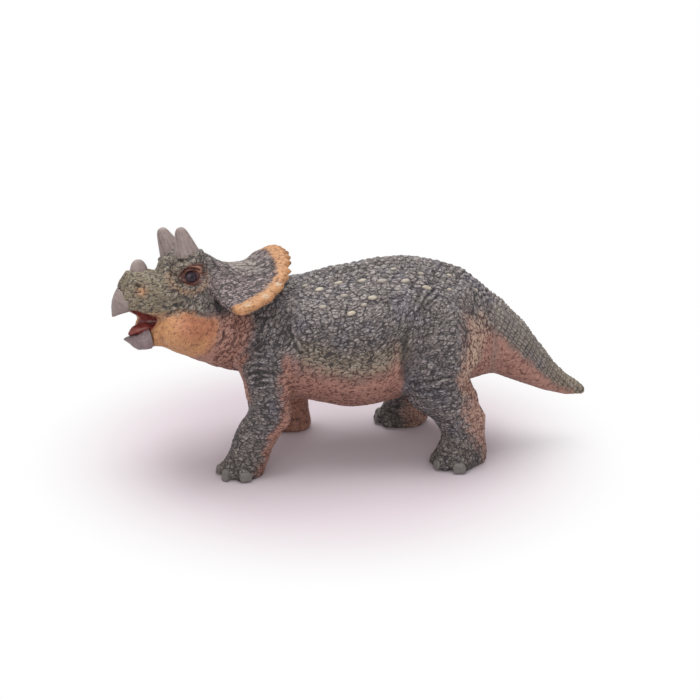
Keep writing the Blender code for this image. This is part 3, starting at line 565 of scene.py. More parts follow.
onSnout = ramp(along, -19.5, -23.5)
fanRun = np.hypot(along + 12.2, up - 9.2)  # the cheek's ridges run out from behind the eye
fanTurn = np.arctan2(up - 9.2, along + 12.2) * 5.5
onCheek = ramp(up, 8.4, 6.6) * ramp(cheekSide, 4, 7) * ramp(along, -26.0, -23.5)
onNeck = ramp(along, -11.5, -9.5) * ramp(up, 4, 1)
onJowl = np.clip(onJaw + onHead * ramp(up, 1.0, -0.5), 0, 1) * (1 - onNeck)
onFace = onHead * (1 - onJowl) * (1 - onNeck)
addZone("snout", onFace * onSnout * (1 - onCheek), head, 61, ridge=0.25)
addZone("cheek", onFace * onCheek, columns(fanRun, fanTurn, across), 67, ridge=0.30)
addZone("crown", onFace * (1 - onSnout) * (1 - onCheek), head, 71, ridge=0.35)
addZone("jowl", onJowl * onSkull, head, 83, ridge=0.5, cracks=0.3)
addZone("throat", onNeck * onSkull, head, 73, ridge=0.5)

rimHalf = ((-8.4, 21.0, 1.1), (0.0, 18.7, 2.9), (6.0, 14.9, 6.3), (9.2, 10.5, 10.1), (10.4, 5.0, 12.6))
rimLine = smoothLine([*rimHalf, (10.4, 0.0, 13.4), *((a, -b, c) for a, b, c in reversed(rimHalf))])
rimGap, rimPlace, rimLength = lineGap(head, rimLine)
rimMiddle = np.abs(rimPlace - rimLength / 2)  # along the edge, away from its top
rimBand = rimGap + 1.4 * (softNoise(head / 1.3, 97) - 0.5) - 0.9 * ramp(rimMiddle, 14, 8)
rimBand = ramp(rimBand, 3.8, 2.2) * onFrill
frillTop = ramp(cheekSide, 12.5, 9.5) * ramp(up, 7.5, 9.5) * (1 - rimBand)
addZone("frill", onFrill * (1 - frillTop) * (1 - rimBand), head, 79, ridge=0.7)
addZone("frillTop", onFrill * frillTop, head, 81, ridge=0.6)
addZone("rim", rimBand, head, 89, ridge=0.5, cracks=0.3)
print("relief laid on")

tone /= np.maximum(share, 0.05)
calm = np.clip(onJowl + 0.5 * onFace + rimBand + 0.7 * onTrunk * onBelly + 0.8 * onTail * (1 - tailTop), 0, 1)
tone = tone * (1 - 0.5 * calm) + 0.24 * calm  # the wash is thin on the orange and the underside
tone += 0.24 * ramp(normals[:, 2], 0.30, 0.85) * (onTrunk + onTail)  # painted highlight: lighter where the back and tail face up
cheekFront = onFace * onCheek * ramp(along, -22, -19)
skin = {name: np.zeros(len(points)) for name in ("shadeAndDarkPaint", "pale", "lid", "mouth", "blush")}  # what the paint reads
skin["relief"] = tone
skin["wrinkle"] = np.clip(1 - 0.75 * onJowl - 0.40 * onTrunk * onBelly - 0.7 * onTail - 0.7 * rimBand
                          - 0.45 * onSnout * onHead - 0.5 * part["right_foreleg"], 0, 1)
skin["climb"] = np.clip(onTrunk * (onShoulder + ramp(x, 1, 7) * (1 - onBack)) + onFore * onArmTop
                        + onNeck * onHead + onJaw + cheekFront, 0, 1)
skin["upright"] = np.clip(onRump * (onTrunk + onHind) + cheekFront * ramp(along, -15, -11), 0, 1)


# Painted shade: near-black paint laid where shade falls, in grooves and holes and under the frill; the same field also
# holds darker paint towards the soles and on the frill rim
def darken(amount):
    skin["shadeAndDarkPaint"] = np.maximum(skin["shadeAndDarkPaint"], amount)


# Skin folds: lines in side view with a groove, painted shade along it, and a swollen lip

folds = {  # strength, and the points of each line
    "hind": {
        "flank": (0.42, 13.6, 46.9, 12.9, 43.0, 11.6, 39.7, 12.0, 36.0, 11.2, 33.0),
        "groin": (0.25, 11.6, 35.5, 10.8, 32.0, 10.4, 27.5, 10.2, 23.5),
        "flankRear": (0.22, 14.0, 44.5, 13.7, 41.0, 12.8, 38.0),
        "thighTop": (0.55, 13.6, 42.6, 15.0, 44.9, 17.6, 46.3, 20.2, 46.5),
        "thighHigh": (0.75, 14.3, 40.8, 16.2, 43.4, 18.2, 45.0, 20.6, 45.8),
        "thighUpper": (0.70, 15.6, 40.9, 17.3, 42.6, 19.0, 43.9, 20.9, 44.8),
        "thighInner": (0.50, 17.0, 41.2, 18.6, 42.4, 20.4, 43.3),
        "thighLow": (0.40, 13.7, 35.2, 18.6, 35.7, 22.2, 36.4),
        "thighMiddle": (0.40, 14.1, 31.4, 17.7, 32.5, 20.3, 33.3),
        "thighLong": (0.35, 16.6, 24.9, 19.1, 28.0, 21.3, 31.2, 23.6, 33.6),
        "knee": (0.60, 11.6, 22.9, 16.6, 24.1, 20.9, 25.4, 24.2, 26.0),
        "kneeMiddle": (0.50, 12.0, 21.0, 16.5, 21.9, 22.0, 23.1),
        "kneeLow": (0.50, 13.3, 19.4, 17.6, 20.2, 22.7, 21.2),
        "shin": (0.35, 15.0, 17.7, 19.4, 18.2, 23.1, 19.3),
        "heel": (0.55, 28.1, 13.9, 30.1, 13.1, 31.0, 14.3),
        "heelLow": (0.45, 27.6, 12.3, 29.7, 12.0, 31.4, 13.3),
    },
    "fore": {
        "shoulder": (0.60, -18.0, 38.6, -17.0, 36.6, -16.0, 34.0, -14.9, 31.9, -13.7, 30.8),
        "shoulderRear": (0.40, -16.3, 38.4, -15.0, 35.4, -13.6, 32.6),
        "armHigh": (0.40, -27.7, 29.9, -25.5, 31.2, -23.5, 31.1, -21.5, 30.0, -20.5, 28.8),
        "arm": (0.85, -27.8, 26.2, -26.1, 27.3, -24.1, 27.8, -22.1, 27.6, -20.4, 26.9),
        "armMiddle": (0.55, -27.4, 25.2, -25.6, 26.1, -23.6, 26.6, -21.4, 26.3),
        "armTop": (0.50, -27.6, 28.2, -25.8, 29.2, -23.8, 29.5, -21.6, 28.8),
        "armEnd": (0.45, -26.8, 21.9, -25.0, 22.7, -22.8, 23.0, -21.4, 22.8),
        "armLow": (0.75, -27.1, 23.2, -25.5, 24.4, -23.7, 24.8, -21.2, 24.7),
    },
    "face": {  # along and up in the head's frame
        "mouthCorner": (0.55, -21.6, 2.6, -20.3, 3.3, -18.6, 3.3, -17.2, 2.8),
        "faceBorder": (0.40, -24.3, 0.9, -22.0, 1.2, -19.4, 1.9, -16.8, 1.5, -14.2, 0.3, -12.0, -0.5),
        "jowlRear": (0.45, -12.3, -0.3, -11.6, -2.2, -11.8, -3.8),
        "jowlLow": (0.55, -9.5, -3.8, -8.9, -6.0, -10.5, -7.8, -12.4, -9.0),
        "throat": (0.55, -6.4, -4.2, -6.1, -7.4, -7.9, -10.3),
    },
    "frill": {  # along, and out to the side
        "valley": (0.55, -5.4, 0.0, -5.4, 4.5, -4.6, 8.5, -2.1, 10.4, 3.2, 11.0, 6.5, 9.8),
    },
}
foldShape = {"depth": 0.46, "width": 0.36, "lip": 0.22, "dip": 0.12, "dipWidth": 1.3, "fade": 1.5, "wander": 0.28}


def addFolds(kind, plane, where):
    for strength, *numbers in folds[kind].values():
        line = np.reshape(numbers, (-1, 2))
        close = ((plane > line.min(0) - 3) & (plane < line.max(0) + 3)).all(1)
        live = np.flatnonzero(close & (where > 0.01))
        spot = points[live] / 1.7
        waver = columns(softNoise(spot, 151), softNoise(spot, 157)) - 0.5
        gap, place, length = lineGap(plane[live] + waver * 2 * foldShape["wander"], smoothLine(line))
        ends = ramp(place, 0, foldShape["fade"]) * ramp(length - place, 0, foldShape["fade"]) * where[live] * strength
        groove = hump(gap, foldShape["width"])
        lip = hump(gap - 2.3 * foldShape["width"], 1.2 * foldShape["width"])
        dip = foldShape["dip"] * hump(gap, foldShape["dipWidth"])
        height[live] += ends * (foldShape["lip"] * lip - foldShape["depth"] * groove - dip)
        worn = skin["relief"][live] * (1 - 0.8 * groove * ends) + 0.25 * lip * ends
        skin["relief"][live] = np.clip(worn, 0, 1)
        # painted shade along the groove
        skin["shadeAndDarkPaint"][live] = np.maximum(skin["shadeAndDarkPaint"][live], 0.70 * groove * ends)


addFolds("hind", hindPlane, sideways * (onHind + onTrunk))
addFolds("fore", forePlane, sideways * (onFore + onTrunk))
addFolds("face", columns(along, up), onSkull * ramp(cheekSide, 3.5, 6.0))
addFolds("frill", columns(along, cheekSide), onFrill * ramp(normals[:, 2], -0.1, 0.2))

# Knobs along the spine and pale oval plates on the flank

spine = {
    "spacing": (2.10, 1.2), "rise": 0.80, "rowGap": 1.8, "shrink": (30, 60),
    "middleX": (-26, 30, 45, 61), "middleY": (0.2, 0.8, 1.6, 1.5), "rows": (1.0, 0.8, 0.6, 0.5),
}


def addSpine():
    tail = slices("tail", 0, 1.2)
    rows = np.vstack([slices("torso_right_half", 0, 1.5), slices("torso_left_half", 0, 1.5), tail])
    levels = np.arange(-26, 61, 1.0)
    tops = np.array([rows[np.abs(rows[:, 0] - level) < 1.6][:, 6].max() for level in levels])
    spacing = np.interp(levels, spine["shrink"], spine["spacing"])
    run = np.concatenate([[0], np.cumsum(np.hypot(np.diff(levels), np.diff(tops)) / spacing[1:])])
    beat = np.interp(x, levels, run)
    size = np.interp(x, levels, spacing) / spine["spacing"][0]
    onTailRows = np.interp(x, tail[:, 0], tail[:, 5], left=np.nan)
    middle = np.interp(x, levels, np.interp(levels, spine["middleX"], spine["middleY"]))
    middle = np.where(np.isnan(onTailRows), middle, onTailRows)
    strength = ramp(x, -18, -8) * ramp(normals[:, 2], 0.1, 0.5) * (onTrunk + onTail)
    for row in range(-3, 4):
        turn = beat + (0.5 if row % 2 else 0.0)
        number = np.floor(turn).astype(np.int64)
        code = cellCode(columns(number, number * 0 + row, number * 0), 163)
        shift = codeShare(code, 0, 8) - 0.5
        wide = 0.80 + 0.35 * codeShare(code, 8, 8)
        forth = (np.mod(turn, 1) - 0.5 - 0.16 * shift) * 2.15
        aside = (y - middle - (row + 0.25 * shift) * spine["rowGap"] * size) / (0.92 * size * wide)
        knob = np.clip(1 - forth ** 2 - aside ** 2, 0, 1) ** 0.6
        inside = (np.abs(aside) < 1.0) * strength * spine["rows"][abs(row)]
        height[:] = height * (1 - 0.7 * inside) + knob * inside * size * spine["rise"]
        skin["relief"] = skin["relief"] * (1 - 0.6 * inside) + knob * inside * 0.6


plates = (  # side view place, place across and half length
    (1.3, 47.5, -6.3, 1.0), (6.3, 47.8, -7.8, 1.1), (12.0, 47.7, -8.0, 1.0), (17.4, 46.0, -8.9, 1.0),
    (23.7, 47.4, -3.5, 0.8), (16.3, 48.6, -5.2, 0.9), (9.6, 49.7, -4.0, 0.8), (-9.3, 45.5, -6.4, 1.0),
    (-4.4, 46.9, -5.5, 1.0), (-12.8, 45.8, -3.8, 0.8), (-8.9, 42.5, -10.9, 0.9), (-1.8, 41.3, -13.1, 0.95),
    (3.6, 44.6, -11.3, 1.0), (-3.4, 44.7, -9.5, 0.9), (1.3, 43.1, -12.2, 0.7), (30.6, 43.6, -4.3, 0.8),
    (23.2, 45.0, -7.8, 0.7), (36.7, 38.0, -3.9, 0.7))
plateShape = {"rise": 0.45, "slim": 0.54, "mirrorY": 2.2, "size": 1.28, "strengths": (0.62, 0.34, 0.50, 0.80)}


def addPlates():
    for number, (plateX, plateZ, plateY, half) in enumerate(plates):
        half *= plateShape["size"]
        for mirrored in (False, True):
            middleY = plateShape["mirrorY"] - plateY if mirrored else plateY
            middleX = plateX + (1.3 if number % 2 else -0.9) if mirrored else plateX
            gap = np.abs(points - (middleX, middleY, plateZ))
            live = np.flatnonzero((gap < (2.5, 3, 2.5)).all(1))
            lean = 0.12 * (number % 3 - 0.2) * (x - middleX)[live]
            tall = np.hypot((z - plateZ)[live] - lean, (y - middleY)[live])
            gap = np.hypot((x - middleX)[live] / half, tall / (half * plateShape["slim"]))
            gap += 0.35 * (softNoise(points[live] / 0.8, 173) - 0.5)
            dome = np.clip(1 - gap ** 2, 0, 1) ** 0.5
            cover = ramp(gap, 1.30, 1.0)
            height[live] = height[live] * (1 - cover) + dome * plateShape["rise"] * cover
            skin["relief"][live] = skin["relief"][live] * (1 - cover) + cover * (0.10 + 0.75 * dome)
            skin["wrinkle"][live] *= 1 - ramp(gap, 1.2, 0.9)
            pale = ramp(gap, 1.0, 0.7) * plateShape["strengths"][number % 4]
            skin["pale"][live] = np.maximum(skin["pale"][live], pale)


addSpine()
addPlates()
print("folds, spine and plates done")

# Eyes, nostrils, brows and frill edge

face = {
    "eye": (-15.75, 8.48, 10.15), "opening": (1.90, 1.42), "openingAt": (0.45, -0.38), "lidRise": 0.30,
    "lidClose": 0.40, "lidZone": (3.0, 2.7), "lidZoneAt": (0.45, 0.10), "grooveDepth": 0.26, "ridgeRise": 0.14,
    "lineSize": 0.80, "lineAt": (0.15, -0.28), "socket": 0.9,
    "nostril": (-28.0, 8.8), "nostrilHalf": (0.95, 0.40), "nostrilDepth": 0.65, "nostrilRim": 0.16,
    "jowlSwell": 0.8, "hollow": 0.9, "cavity": (-25.9, 0.0, -0.5), "cavityHalf": (4.9, 4.0, 3.6),
}
eyeLines = (  # forward and up from the eye in mm, half width, and 1 for a pale ridge or 0 for a dark groove
    (((-1.9, 1.3), (-0.8, 2.15), (0.2, 2.4), (1.7, 2.0), (2.9, 1.6)), 0.22, 0),
    (((-3.1, 0.2), (-2.7, 1.2), (-2.0, 1.95), (-0.75, 2.85), (1.4, 3.4), (3.0, 3.2), (3.9, 2.6)), 0.28, 0),
    (((-3.0, -1.0), (-1.3, -1.95), (0.25, -2.45), (1.75, -2.55), (2.8, -2.0)), 0.30, 0),
    (((-2.9, 0.9), (-2.5, 0.2), (-2.4, -0.5)), 0.35, 0),
    (((2.5, 0.6), (4.0, 0.35), (5.2, 0.0)), 0.20, 0),
    (((-1.7, 0.8), (-0.9, 1.65), (0.3, 1.9), (1.6, 1.5), (3.2, 1.1)), 0.24, 1),
    (((-1.6, 0.6), (-1.75, -0.2), (-1.2, -1.4), (0.2, -1.98), (1.6, -1.7), (2.55, -0.6), (2.8, 0.4)), 0.28, 1),
    (((0.2, 2.85), (1.6, 2.75), (3.0, 2.3)), 0.24, 1),
)
crown = {  # mm by which the bridge, the brows and the middle of the frill are raised
    "along": (-31, -29, -27, -25, -23.6, -22.6, -22.0, -21.3, -20.4, -19.4, -18.3, -11.2, -8.6, -6.6, -4.5, -2.4, 1.8,
              3.8, 6.1, 9.0, 11.0),
    "raise": (0, 0, 0, -0.2, -0.4, -0.9, -1.1, -0.5, 1.2, 2.1, 2.4, 2.4, 1.6, 0.5, -0.2, -0.6, -0.7, -0.4, 0.5, 0.5, 0),
    "between": 0.60, "browOut": 0.5, "snoutBack": 0.9, "snoutDown": 0.4, "collar": 0.25,
}
browHorn = {
    "seats": {-1: (-15.1, -5.6, 14.4), 1: (-15.4, 6.2, 14.1)}, "lean": {-1: math.radians(-12), 1: math.radians(-19)},
    "splay": math.radians(3),
    "sides": 24, "width": 0.90,
    "rings": ((2.80, -1.2), (3.35, 0.0), (3.15, 1.2), (2.72, 2.7), (2.24, 4.4), (1.86, 5.6), (1.54, 6.5), (1.18, 7.15),
              (0.62, 7.6)),
    "grooves": 15, "grooveDepth": 0.11,
}
shifted = np.zeros((len(points), 3))  # moves in the head's frame that don't follow the normals


def addBody():  # throat, chest, belly and the backs of the near legs
    push = np.zeros((len(points), 3))
    throat = ramp(x, -38, -34) * ramp(x, -28.5, -33) * ramp(z, 32.5, 28.0) * (onSkull + onTrunk)
    armpit = ramp(z, 29.5, 27) * hump(x + 18.5, 3.6) * ramp(y, 6, 2) * onTrunk
    belly = ramp(z, 29, 27) * hump(x - 1, 8) * onTrunk
    heel = ramp(hindPlane[:, 0], 23, 26) * (part["left_hind_leg"] + 0.6 * part["right_hind_leg"])
    heelPush = np.interp(z, [4.5, 8.5, 10.9, 13.4, 15.8, 17.4, 19.0, 22.3, 24.5, 27.5],
                         [0, 0.6, 1.0, 1.0, 1.1, 0.4, 0.1, 1.5, 1.9, 0])
    push[:, 2] -= 1.1 * throat + 2.2 * armpit + 0.5 * belly
    push[:, 0] -= 1.2 * hump(z - 27.8, 2.6) * ramp(x, -24, -27) * (y < 4) + heel * heelPush
    push[:, 0] += (0.8 * ramp(z, 9, 4) - 0.5 * hump(z - 11.5, 2.0) * ramp(x, -25, -21)) * part["left_foreleg"]
    push[:, 1] += 2.0 * ramp(x, 26.5, 30.5) * ramp(y, -13, -17) * ramp(z, 9, 4) * part["left_hind_leg"]
    shifted[:] += push @ headTurn


def addCrown():
    lift = np.interp(along, crown["along"], crown["raise"])
    ridge = crown["between"] + (1 - crown["between"]) * hump(cheekSide - 6.9, 3.0)
    lift = np.where((lift > 0) & (along > -22) & (along < -5), lift * ridge, lift)
    lift *= ramp(cheekSide, 13.5, 10.0) * np.where(along < -22, ramp(cheekSide, 5.0, 3.0), 1.0)
    low = np.interp(along, [-24, -21, -19, -12, -9, -5], [8.0, 10.6, 12.6, 12.6, 10.6, 6.0])
    brow = ramp(along, -21.0, -18.5) * ramp(along, -9.5, -12.0) * ramp(up, 11.6, 13.2) * ramp(cheekSide, 6.5, 8.5)
    front = ramp(along, -28.5, -31.5) * ramp(up, 6.0, 9.0) * onHead
    corner = np.exp(-((along + 25.2) / 1.7) ** 2 - ((up + 0.5) / 2.6) ** 2) * ramp(-across, 3.0, 4.5)
    farCorner = ramp(across, 0.5, 2.5) * ramp(along, -21.5, -23.5) * ramp(along, -31, -28.5)
    farCorner *= ramp(np.abs(up + 1.0), 4.5, 2.5)
    shifted[:, 0] += crown["snoutBack"] * front + (1.4 * corner - 1.7 * farCorner) * onMuzzle
    shifted[:, 1] += crown["browOut"] * brow * onHead * np.sign(across)
    shifted[:, 2] += lift * ramp(up, low, low + 1.7) * (onHead + onFrill) - crown["snoutDown"] * front


def browTurn(side):
    lean = Matrix.Rotation(browHorn["lean"][side], 4, 'Y')
    return lean @ Matrix.Rotation(-side * browHorn["splay"], 4, 'X')


def addCollars():  # the skin meets the feet of the brow horns
    bridge = ramp(across, 1, 4) * ramp(up, 9.2, 11.2) * ramp(along, -15.5, -18.5) * ramp(along, -23, -21)
    shifted[:, 0] += 1.1 * bridge * onHead
    wide, high = np.array(browHorn["rings"]).T
    for side, seat in browHorn["seats"].items():
        turn = np.array(browTurn(side).to_3x3())
        own = (head + shifted - np.array(seat)) @ turn
        own[:, 1] /= browHorn["width"]
        reach = np.maximum(np.hypot(own[:, 0], own[:, 1]), 0.05)
        foot = np.interp(own[:, 2], high, wide) + crown["collar"]
        pushed = (reach ** 6 + foot ** 6) ** (1 / 6)
        weight = ramp(own[:, 2], -2.8, -0.8) * ramp(own[:, 2], 3.2, 2.2) * onHead * (reach < 6)
        step = ((pushed - reach) / reach * weight)[:, None] * own * np.array([1, browHorn["width"], 0])
        step[:, 2] += 0.5 * ramp(reach, foot + 1.8, foot) * ramp(own[:, 2], -2.2, -0.2) * onHead
        step[:, 2] -= np.maximum(own[:, 2] + step[:, 2] - 0.9, 0) * ramp(reach, foot + 2.2, foot + 1.2) * onHead
        shifted[:] += step @ turn.T


def addEyes():
    eyeAlong, _, eyeUp = face["eye"]
    live = np.flatnonzero((onHead > 0.2) & (np.abs(along - eyeAlong) < 6) & (np.abs(up - eyeUp) < 6)
                          & (cheekSide > 4.5))
    flat = columns(along + shifted[:, 0] - eyeAlong, up + shifted[:, 2] - eyeUp)[live]
    aside = flat - np.array(face["openingAt"])
    ring = np.hypot(*(aside / face["opening"]).T)
    zone = np.hypot(*((flat - np.array(face["lidZoneAt"])) / face["lidZone"]).T)
    zone = ramp(zone + 0.25 * (softNoise(points[live] / 0.9, 179) - 0.5), 1.10, 0.80)
    around = ramp(ring, 1.55, 1.20)
    height[live] = height[live] * (1 - 0.7 * zone) * (1 - around) - face["socket"] * ramp(ring, 0.92, 0.72)
    height[live] += face["lidRise"] * hump(ring - 1.05, 0.18)
    skin["relief"][live] = skin["relief"][live] * (1 - 0.6 * zone) + 0.24 * zone
    skin["wrinkle"][live] *= 1 - 0.85 * zone
    pale, dark = np.zeros(len(live)), np.zeros(len(live))
    for line, wide, ridge in eyeLines:
        path = smoothLine(np.array(line) * face["lineSize"] + np.array(face["lineAt"]))
        mark = hump(lineGap(flat, path)[0], wide)
        height[live] += mark * (face["ridgeRise"] if ridge else -face["grooveDepth"])
        skin["relief"][live] = skin["relief"][live] * (1 - mark) + (0.72 if ridge else 0.0) * mark
        if ridge:
            pale, dark = np.maximum(pale, mark), dark * (1 - 0.7 * mark)
        else:
            dark = np.maximum(dark, mark)
    skin["lid"][live] = np.clip(0.50 * zone + 0.90 * pale, 0, 1)
    lidRed = 0.70 * dark * (1 - 0.8 * ramp(ring, 1.25, 1.1)) + 0.5 * ramp(ring, 0.90, 0.76)
    skin["mouth"][live] = np.maximum(skin["mouth"][live], lidRed)
    close = face["lidClose"] * hump(ring - 1.0, 0.30) * ramp(cheekSide[live], 6, 7.5)
    reach = np.maximum(np.hypot(*aside.T), 0.3)
    shifted[live, 0] -= close * aside[:, 0] / reach
    shifted[live, 2] -= close * aside[:, 1] / reach


def addFace():
    cavity = np.linalg.norm((head - np.array(face["cavity"])) / np.array(face["cavityHalf"]), axis=1)
    skin["mouth"] = ramp(cavity, 1.16, 1.06) * onMuzzle * ramp(cheekSide, 4.2, 3.7)
    addEyes()
    sideFront = onHead * (along < -24) * (cheekSide > 2.0)
    forth, rise = along - face["nostril"][0], up - face["nostril"][1]
    hole = np.hypot((forth - 0.5 * rise) / face["nostrilHalf"][0], (rise + 0.55 * forth) / face["nostrilHalf"][1])
    opening = np.exp(-hole ** 2) * sideFront
    swell = hump(np.hypot((along + 17.8) / 4.6, (up + 3.2) / 3.4), 1) * ramp(cheekSide, 5, 8) * onSkull
    hollow = np.exp(-np.hypot((along + 8.9) / 1.5, (up - 1.6) / 3.4) ** 4) * ramp(cheekSide, 6, 9) * onHead
    height[:] += face["nostrilRim"] * hump(hole - 1.9, 0.6) * sideFront - face["nostrilDepth"] * opening
    height[:] += face["jowlSwell"] * swell - face["hollow"] * hollow
    # painted shade in the nostril hole and in the hollow between the cheek and the frill
    darken(opening)
    darken(0.72 * hollow)


rim = {"knobGap": 2.5, "knobRise": 1.25, "between": 0.55, "lobeGap": 4.4, "lobeRise": 0.45, "reach": 1.5,
       "swell": 0.22, "middle": (-4.0, 0.0, 6.0)}
frillValley = smoothLine([(-8.1, 13.7), (-4.5, 12.2), (-1.4, 11.1), (1.6, 10.8), (4.6, 10.4)])
frillStreak = smoothLine([(-4.8, 13.3), (-1.0, 13.0), (2.4, 12.8), (5.0, 12.6)])


def addRim():
    upper = ramp(rimMiddle, 19, 12)  # the top edge has spiky knobs, the lower corners smooth lobes
    knob = rimPlace / rim["knobGap"]
    knob += 0.35 * (softNoise(columns(rimPlace / 4, 0 * rimPlace, 0 * rimPlace), 181) - 0.5)
    spike = (1 - np.abs(np.mod(knob, 1) - 0.5) * 2) ** 1.2
    lobe = np.sin(np.pi * np.mod(rimPlace / rim["lobeGap"], 1)) ** 2
    outward = head - np.array(rim["middle"])
    outward[:, 2] *= 0.6
    outward /= np.linalg.norm(outward, axis=1)[:, None]
    tall = upper * (spike * rim["knobRise"] - rim["between"]) + (1 - upper) * lobe * rim["lobeRise"]
    shifted[:] += (hump(rimGap, rim["reach"]) * onFrill * tall)[:, None] * outward
    height[:] += rim["swell"] * hump(rimGap - 1.2, 1.1) * onFrill


def addFrill():
    onSide = onFrill * ramp(cheekSide, 5, 8) * (1 - rimBand)
    valley = hump(lineGap(columns(along, up), frillValley)[0], 0.9) * onSide
    streak = hump(lineGap(columns(along, up), frillStreak)[0], 0.8) * onSide
    # a raised ridge along the frill top with a painted highlight, and a sunk valley below it painted with shade
    height[:] += 0.30 * streak - 0.45 * valley
    skin["relief"] += 0.30 * streak
    darken(0.38 * valley)


addBody()
addCrown()
addCollars()
addFace()
addRim()
addFrill()

# Toes: a swelling behind each nail, and a groove round it with painted shade

nail = {
    "half": (0.80, 1.15, 1.30), "reach": 0.93, "up": 1.60, "tip": 0.25, "shift": {"left_foreleg": 0.8},
    "swell": 0.50, "groove": 0.12, "cuts": 2, "topSlim": (0.55, 0.62), "tipSlim": 0.9,
}
toes = {  # turn from straight ahead, half width and half height of the nail, mm
    "left_foreleg": (-1, ((-52, 0.85, 1.1), (-2, 0.70, 1.10), (46, 1.05, 1.50), (100, 1.60, 1.10))),
    "right_foreleg": (1, ((-52, 0.9, 1.2), (-2, 0.95, 1.25), (48, 1.05, 1.40), (102, 1.40, 1.10))),
    "left_hind_leg": (-1, ((-58, 0.9, 1.1), (-14, 0.80, 1.20), (30, 1.15, 1.10), (84, 1.65, 1.30))),
    "right_hind_leg": (1, ((-58, 0.9, 1.1), (-14, 0.90, 1.15), (30, 1.10, 1.25), (82, 1.30, 1.20))),
}


def toeSpots(node):
    side, rows = toes[node]
    foot = readPoints(cadNodes[node].data)
    foot = foot[foot[:, 2] < 2.5]
    middle, half = (foot.min(0) + foot.max(0)) / 2, np.ptp(foot, axis=0) / 2 * nail["reach"]
    for degrees, wide, tall in rows:
        angle = math.radians(degrees)
        spot = (middle[0] + nail["shift"].get(node, 0) - math.cos(angle) * half[0],
                middle[1] + side * math.sin(angle) * half[1], nail["up"])
        yield np.array(spot), math.pi - side * angle, wide, tall


for node in toes:
    for spot, _, wide, tall in toeSpots(node):
        size = np.array([wide + 0.6, wide + 0.6, tall + 0.7])
        gap = np.linalg.norm((points - spot - np.array([0, 0, 0.5])) / size, axis=1)
        ring = hump(gap - 1.25, 0.25) * part[node]
        height += nail["swell"] * hump(gap, 1) * part[node] - nail["groove"] * ring
        # painted shade in the groove round the toe
        darken(0.45 * ring)

# Paint fields

legSide = np.where(farSide, -1.0, 1.0)
inward = normals[:, 1] * legSide  # towards the other leg
blur = softNoise(points / 1.4, 101) - 0.5
foreEdge = np.interp(z, [1.6, 5.7, 8.5, 12.1, 14.6, 18.1, 22.0, 26.0, 30.3, 34.0],
                     [-27.7, -25.1, -24.0, -22.7, -20.8, -20.0, -20.4, -20.1, -19.1, -18.0])
hindEdge = np.interp(z, [2.0, 6.0, 12.3, 16.2, 19.8, 23.7, 24.9, 29.4, 33.0, 36.3],
                     [32.2, 31.0, 28.6, 27.8, 27.1, 26.6, 26.2, 26.6, 26.7, 27.4])
shinFront = ramp(-normals[:, 0], 0.45, 0.85) * ramp(z, 18, 21) * ramp(z, 33, 30) * ramp(inward, -0.75, -0.45)
foreRear = ramp(forePlane[:, 0] + 2.0 * blur - foreEdge, -1.1, 1.5)
foreRosy = np.maximum(np.maximum(foreRear, ramp(inward + 0.25 * blur, 0.05, 0.45)), shinFront)
foreRosy *= onFore * ramp(z, 33, 30.5)
hindInside = ramp(inward + 0.25 * blur, 0.10, 0.50)
hindInside *= np.maximum(ramp(z, 14, 19), ramp(hindPlane[:, 0] + 3 * blur, 24, 29))
hindRosy = np.maximum(0.92 * ramp(hindPlane[:, 0] + 2.4 * blur - hindEdge, -2.4, 2.0), hindInside) * onHind
tailRosy = ramp(z + 1.8 * blur, tailLine + 1.3 + 1.8 * ramp(x, 43, 34), tailLine - 1.5) * onTail
tailRosy = np.maximum(tailRosy, onTrunk * ramp(x, 27.5, 30) * ramp(z, tailLine + 3.0, tailLine - 1.5))
tailRosy *= 1 - 0.75 * ramp(x, 56.5, 59.5)
bellyRosy = np.clip((bellyLine + 1.0 - z - 1.8 * blur) / 6.0, 0, 1) * onTrunk * ramp(x, 12.0, 10.2)
bellyRosy *= 1 - 0.45 * ramp(x, 6.0, 9.5) * ramp(z, 25, 28.5)
groin = hump(x - 9.1 + 1.2 * blur, 1.2) * ramp(z, 36.5, 31) * onTrunk * sideways
legRoot = ramp(x, 14, 16) * ramp(x, 28, 25) * onTrunk * ramp(z, 28, 23)
throatRosy = ramp(x + 1.5 * (softNoise(points / 1.8, 109) - 0.5), -24.5, -28.5) * ramp(z, 45, 40)
throatRosy *= (onTrunk + onSkull) * ramp(along, -26, -12) * ramp(up, 2.0, -1.5)
allRosy = foreRosy + hindRosy + tailRosy + bellyRosy + throatRosy + 0.42 * groin + legRoot
skin["rosy"] = np.clip(allRosy, 0, 1)
skin["wrinkle"] *= 1 - 0.40 * np.clip(foreRosy + hindRosy, 0, 1)
skin["relief"] += (0.30 - skin["relief"]) * 0.5 * part["right_foreleg"] * foreRosy  # the inner sides are smoother

jowlTop = np.interp(along, [-26, -24.5, -22.5, -20.1, -17.8, -15.5, -12.9, -11.7, -9.0],
                    [0.5, 0.5, 0.7, 1.5, 1.6, 0.6, -0.3, -0.6, -1.6])
jowlRear = np.interp(up, [-14, -10.9, -8.9, -5.2, -1.1], [-15.5, -14.1, -12.9, -11.0, -10.2])
jowl = ramp(up + 1.5 * (softNoise(head / 1.0, 113) - 0.5), jowlTop + 0.8, jowlTop - 1.5)
jowl *= ramp(along + 1.2 * (softNoise(head / 1.6, 127) - 0.5), jowlRear + 1.8, jowlRear - 1.6) * onMuzzle
cheekRed = ramp(np.hypot((along + 15.8) / 1.5, up + 2.2), 5.0, 1.5) + 0.8 * ramp(along, -14.5, -11.5)
skin["blush"] = 0.30 * part["right_foreleg"] * foreRosy + jowl * np.clip(cheekRed, 0, 1)
lipEdge = ramp(up, 2.4, 1.2) * ramp(along, -20.5, -22.5) * onHead * ramp(along, -33, -30) * ramp(up, -1, 0.5)
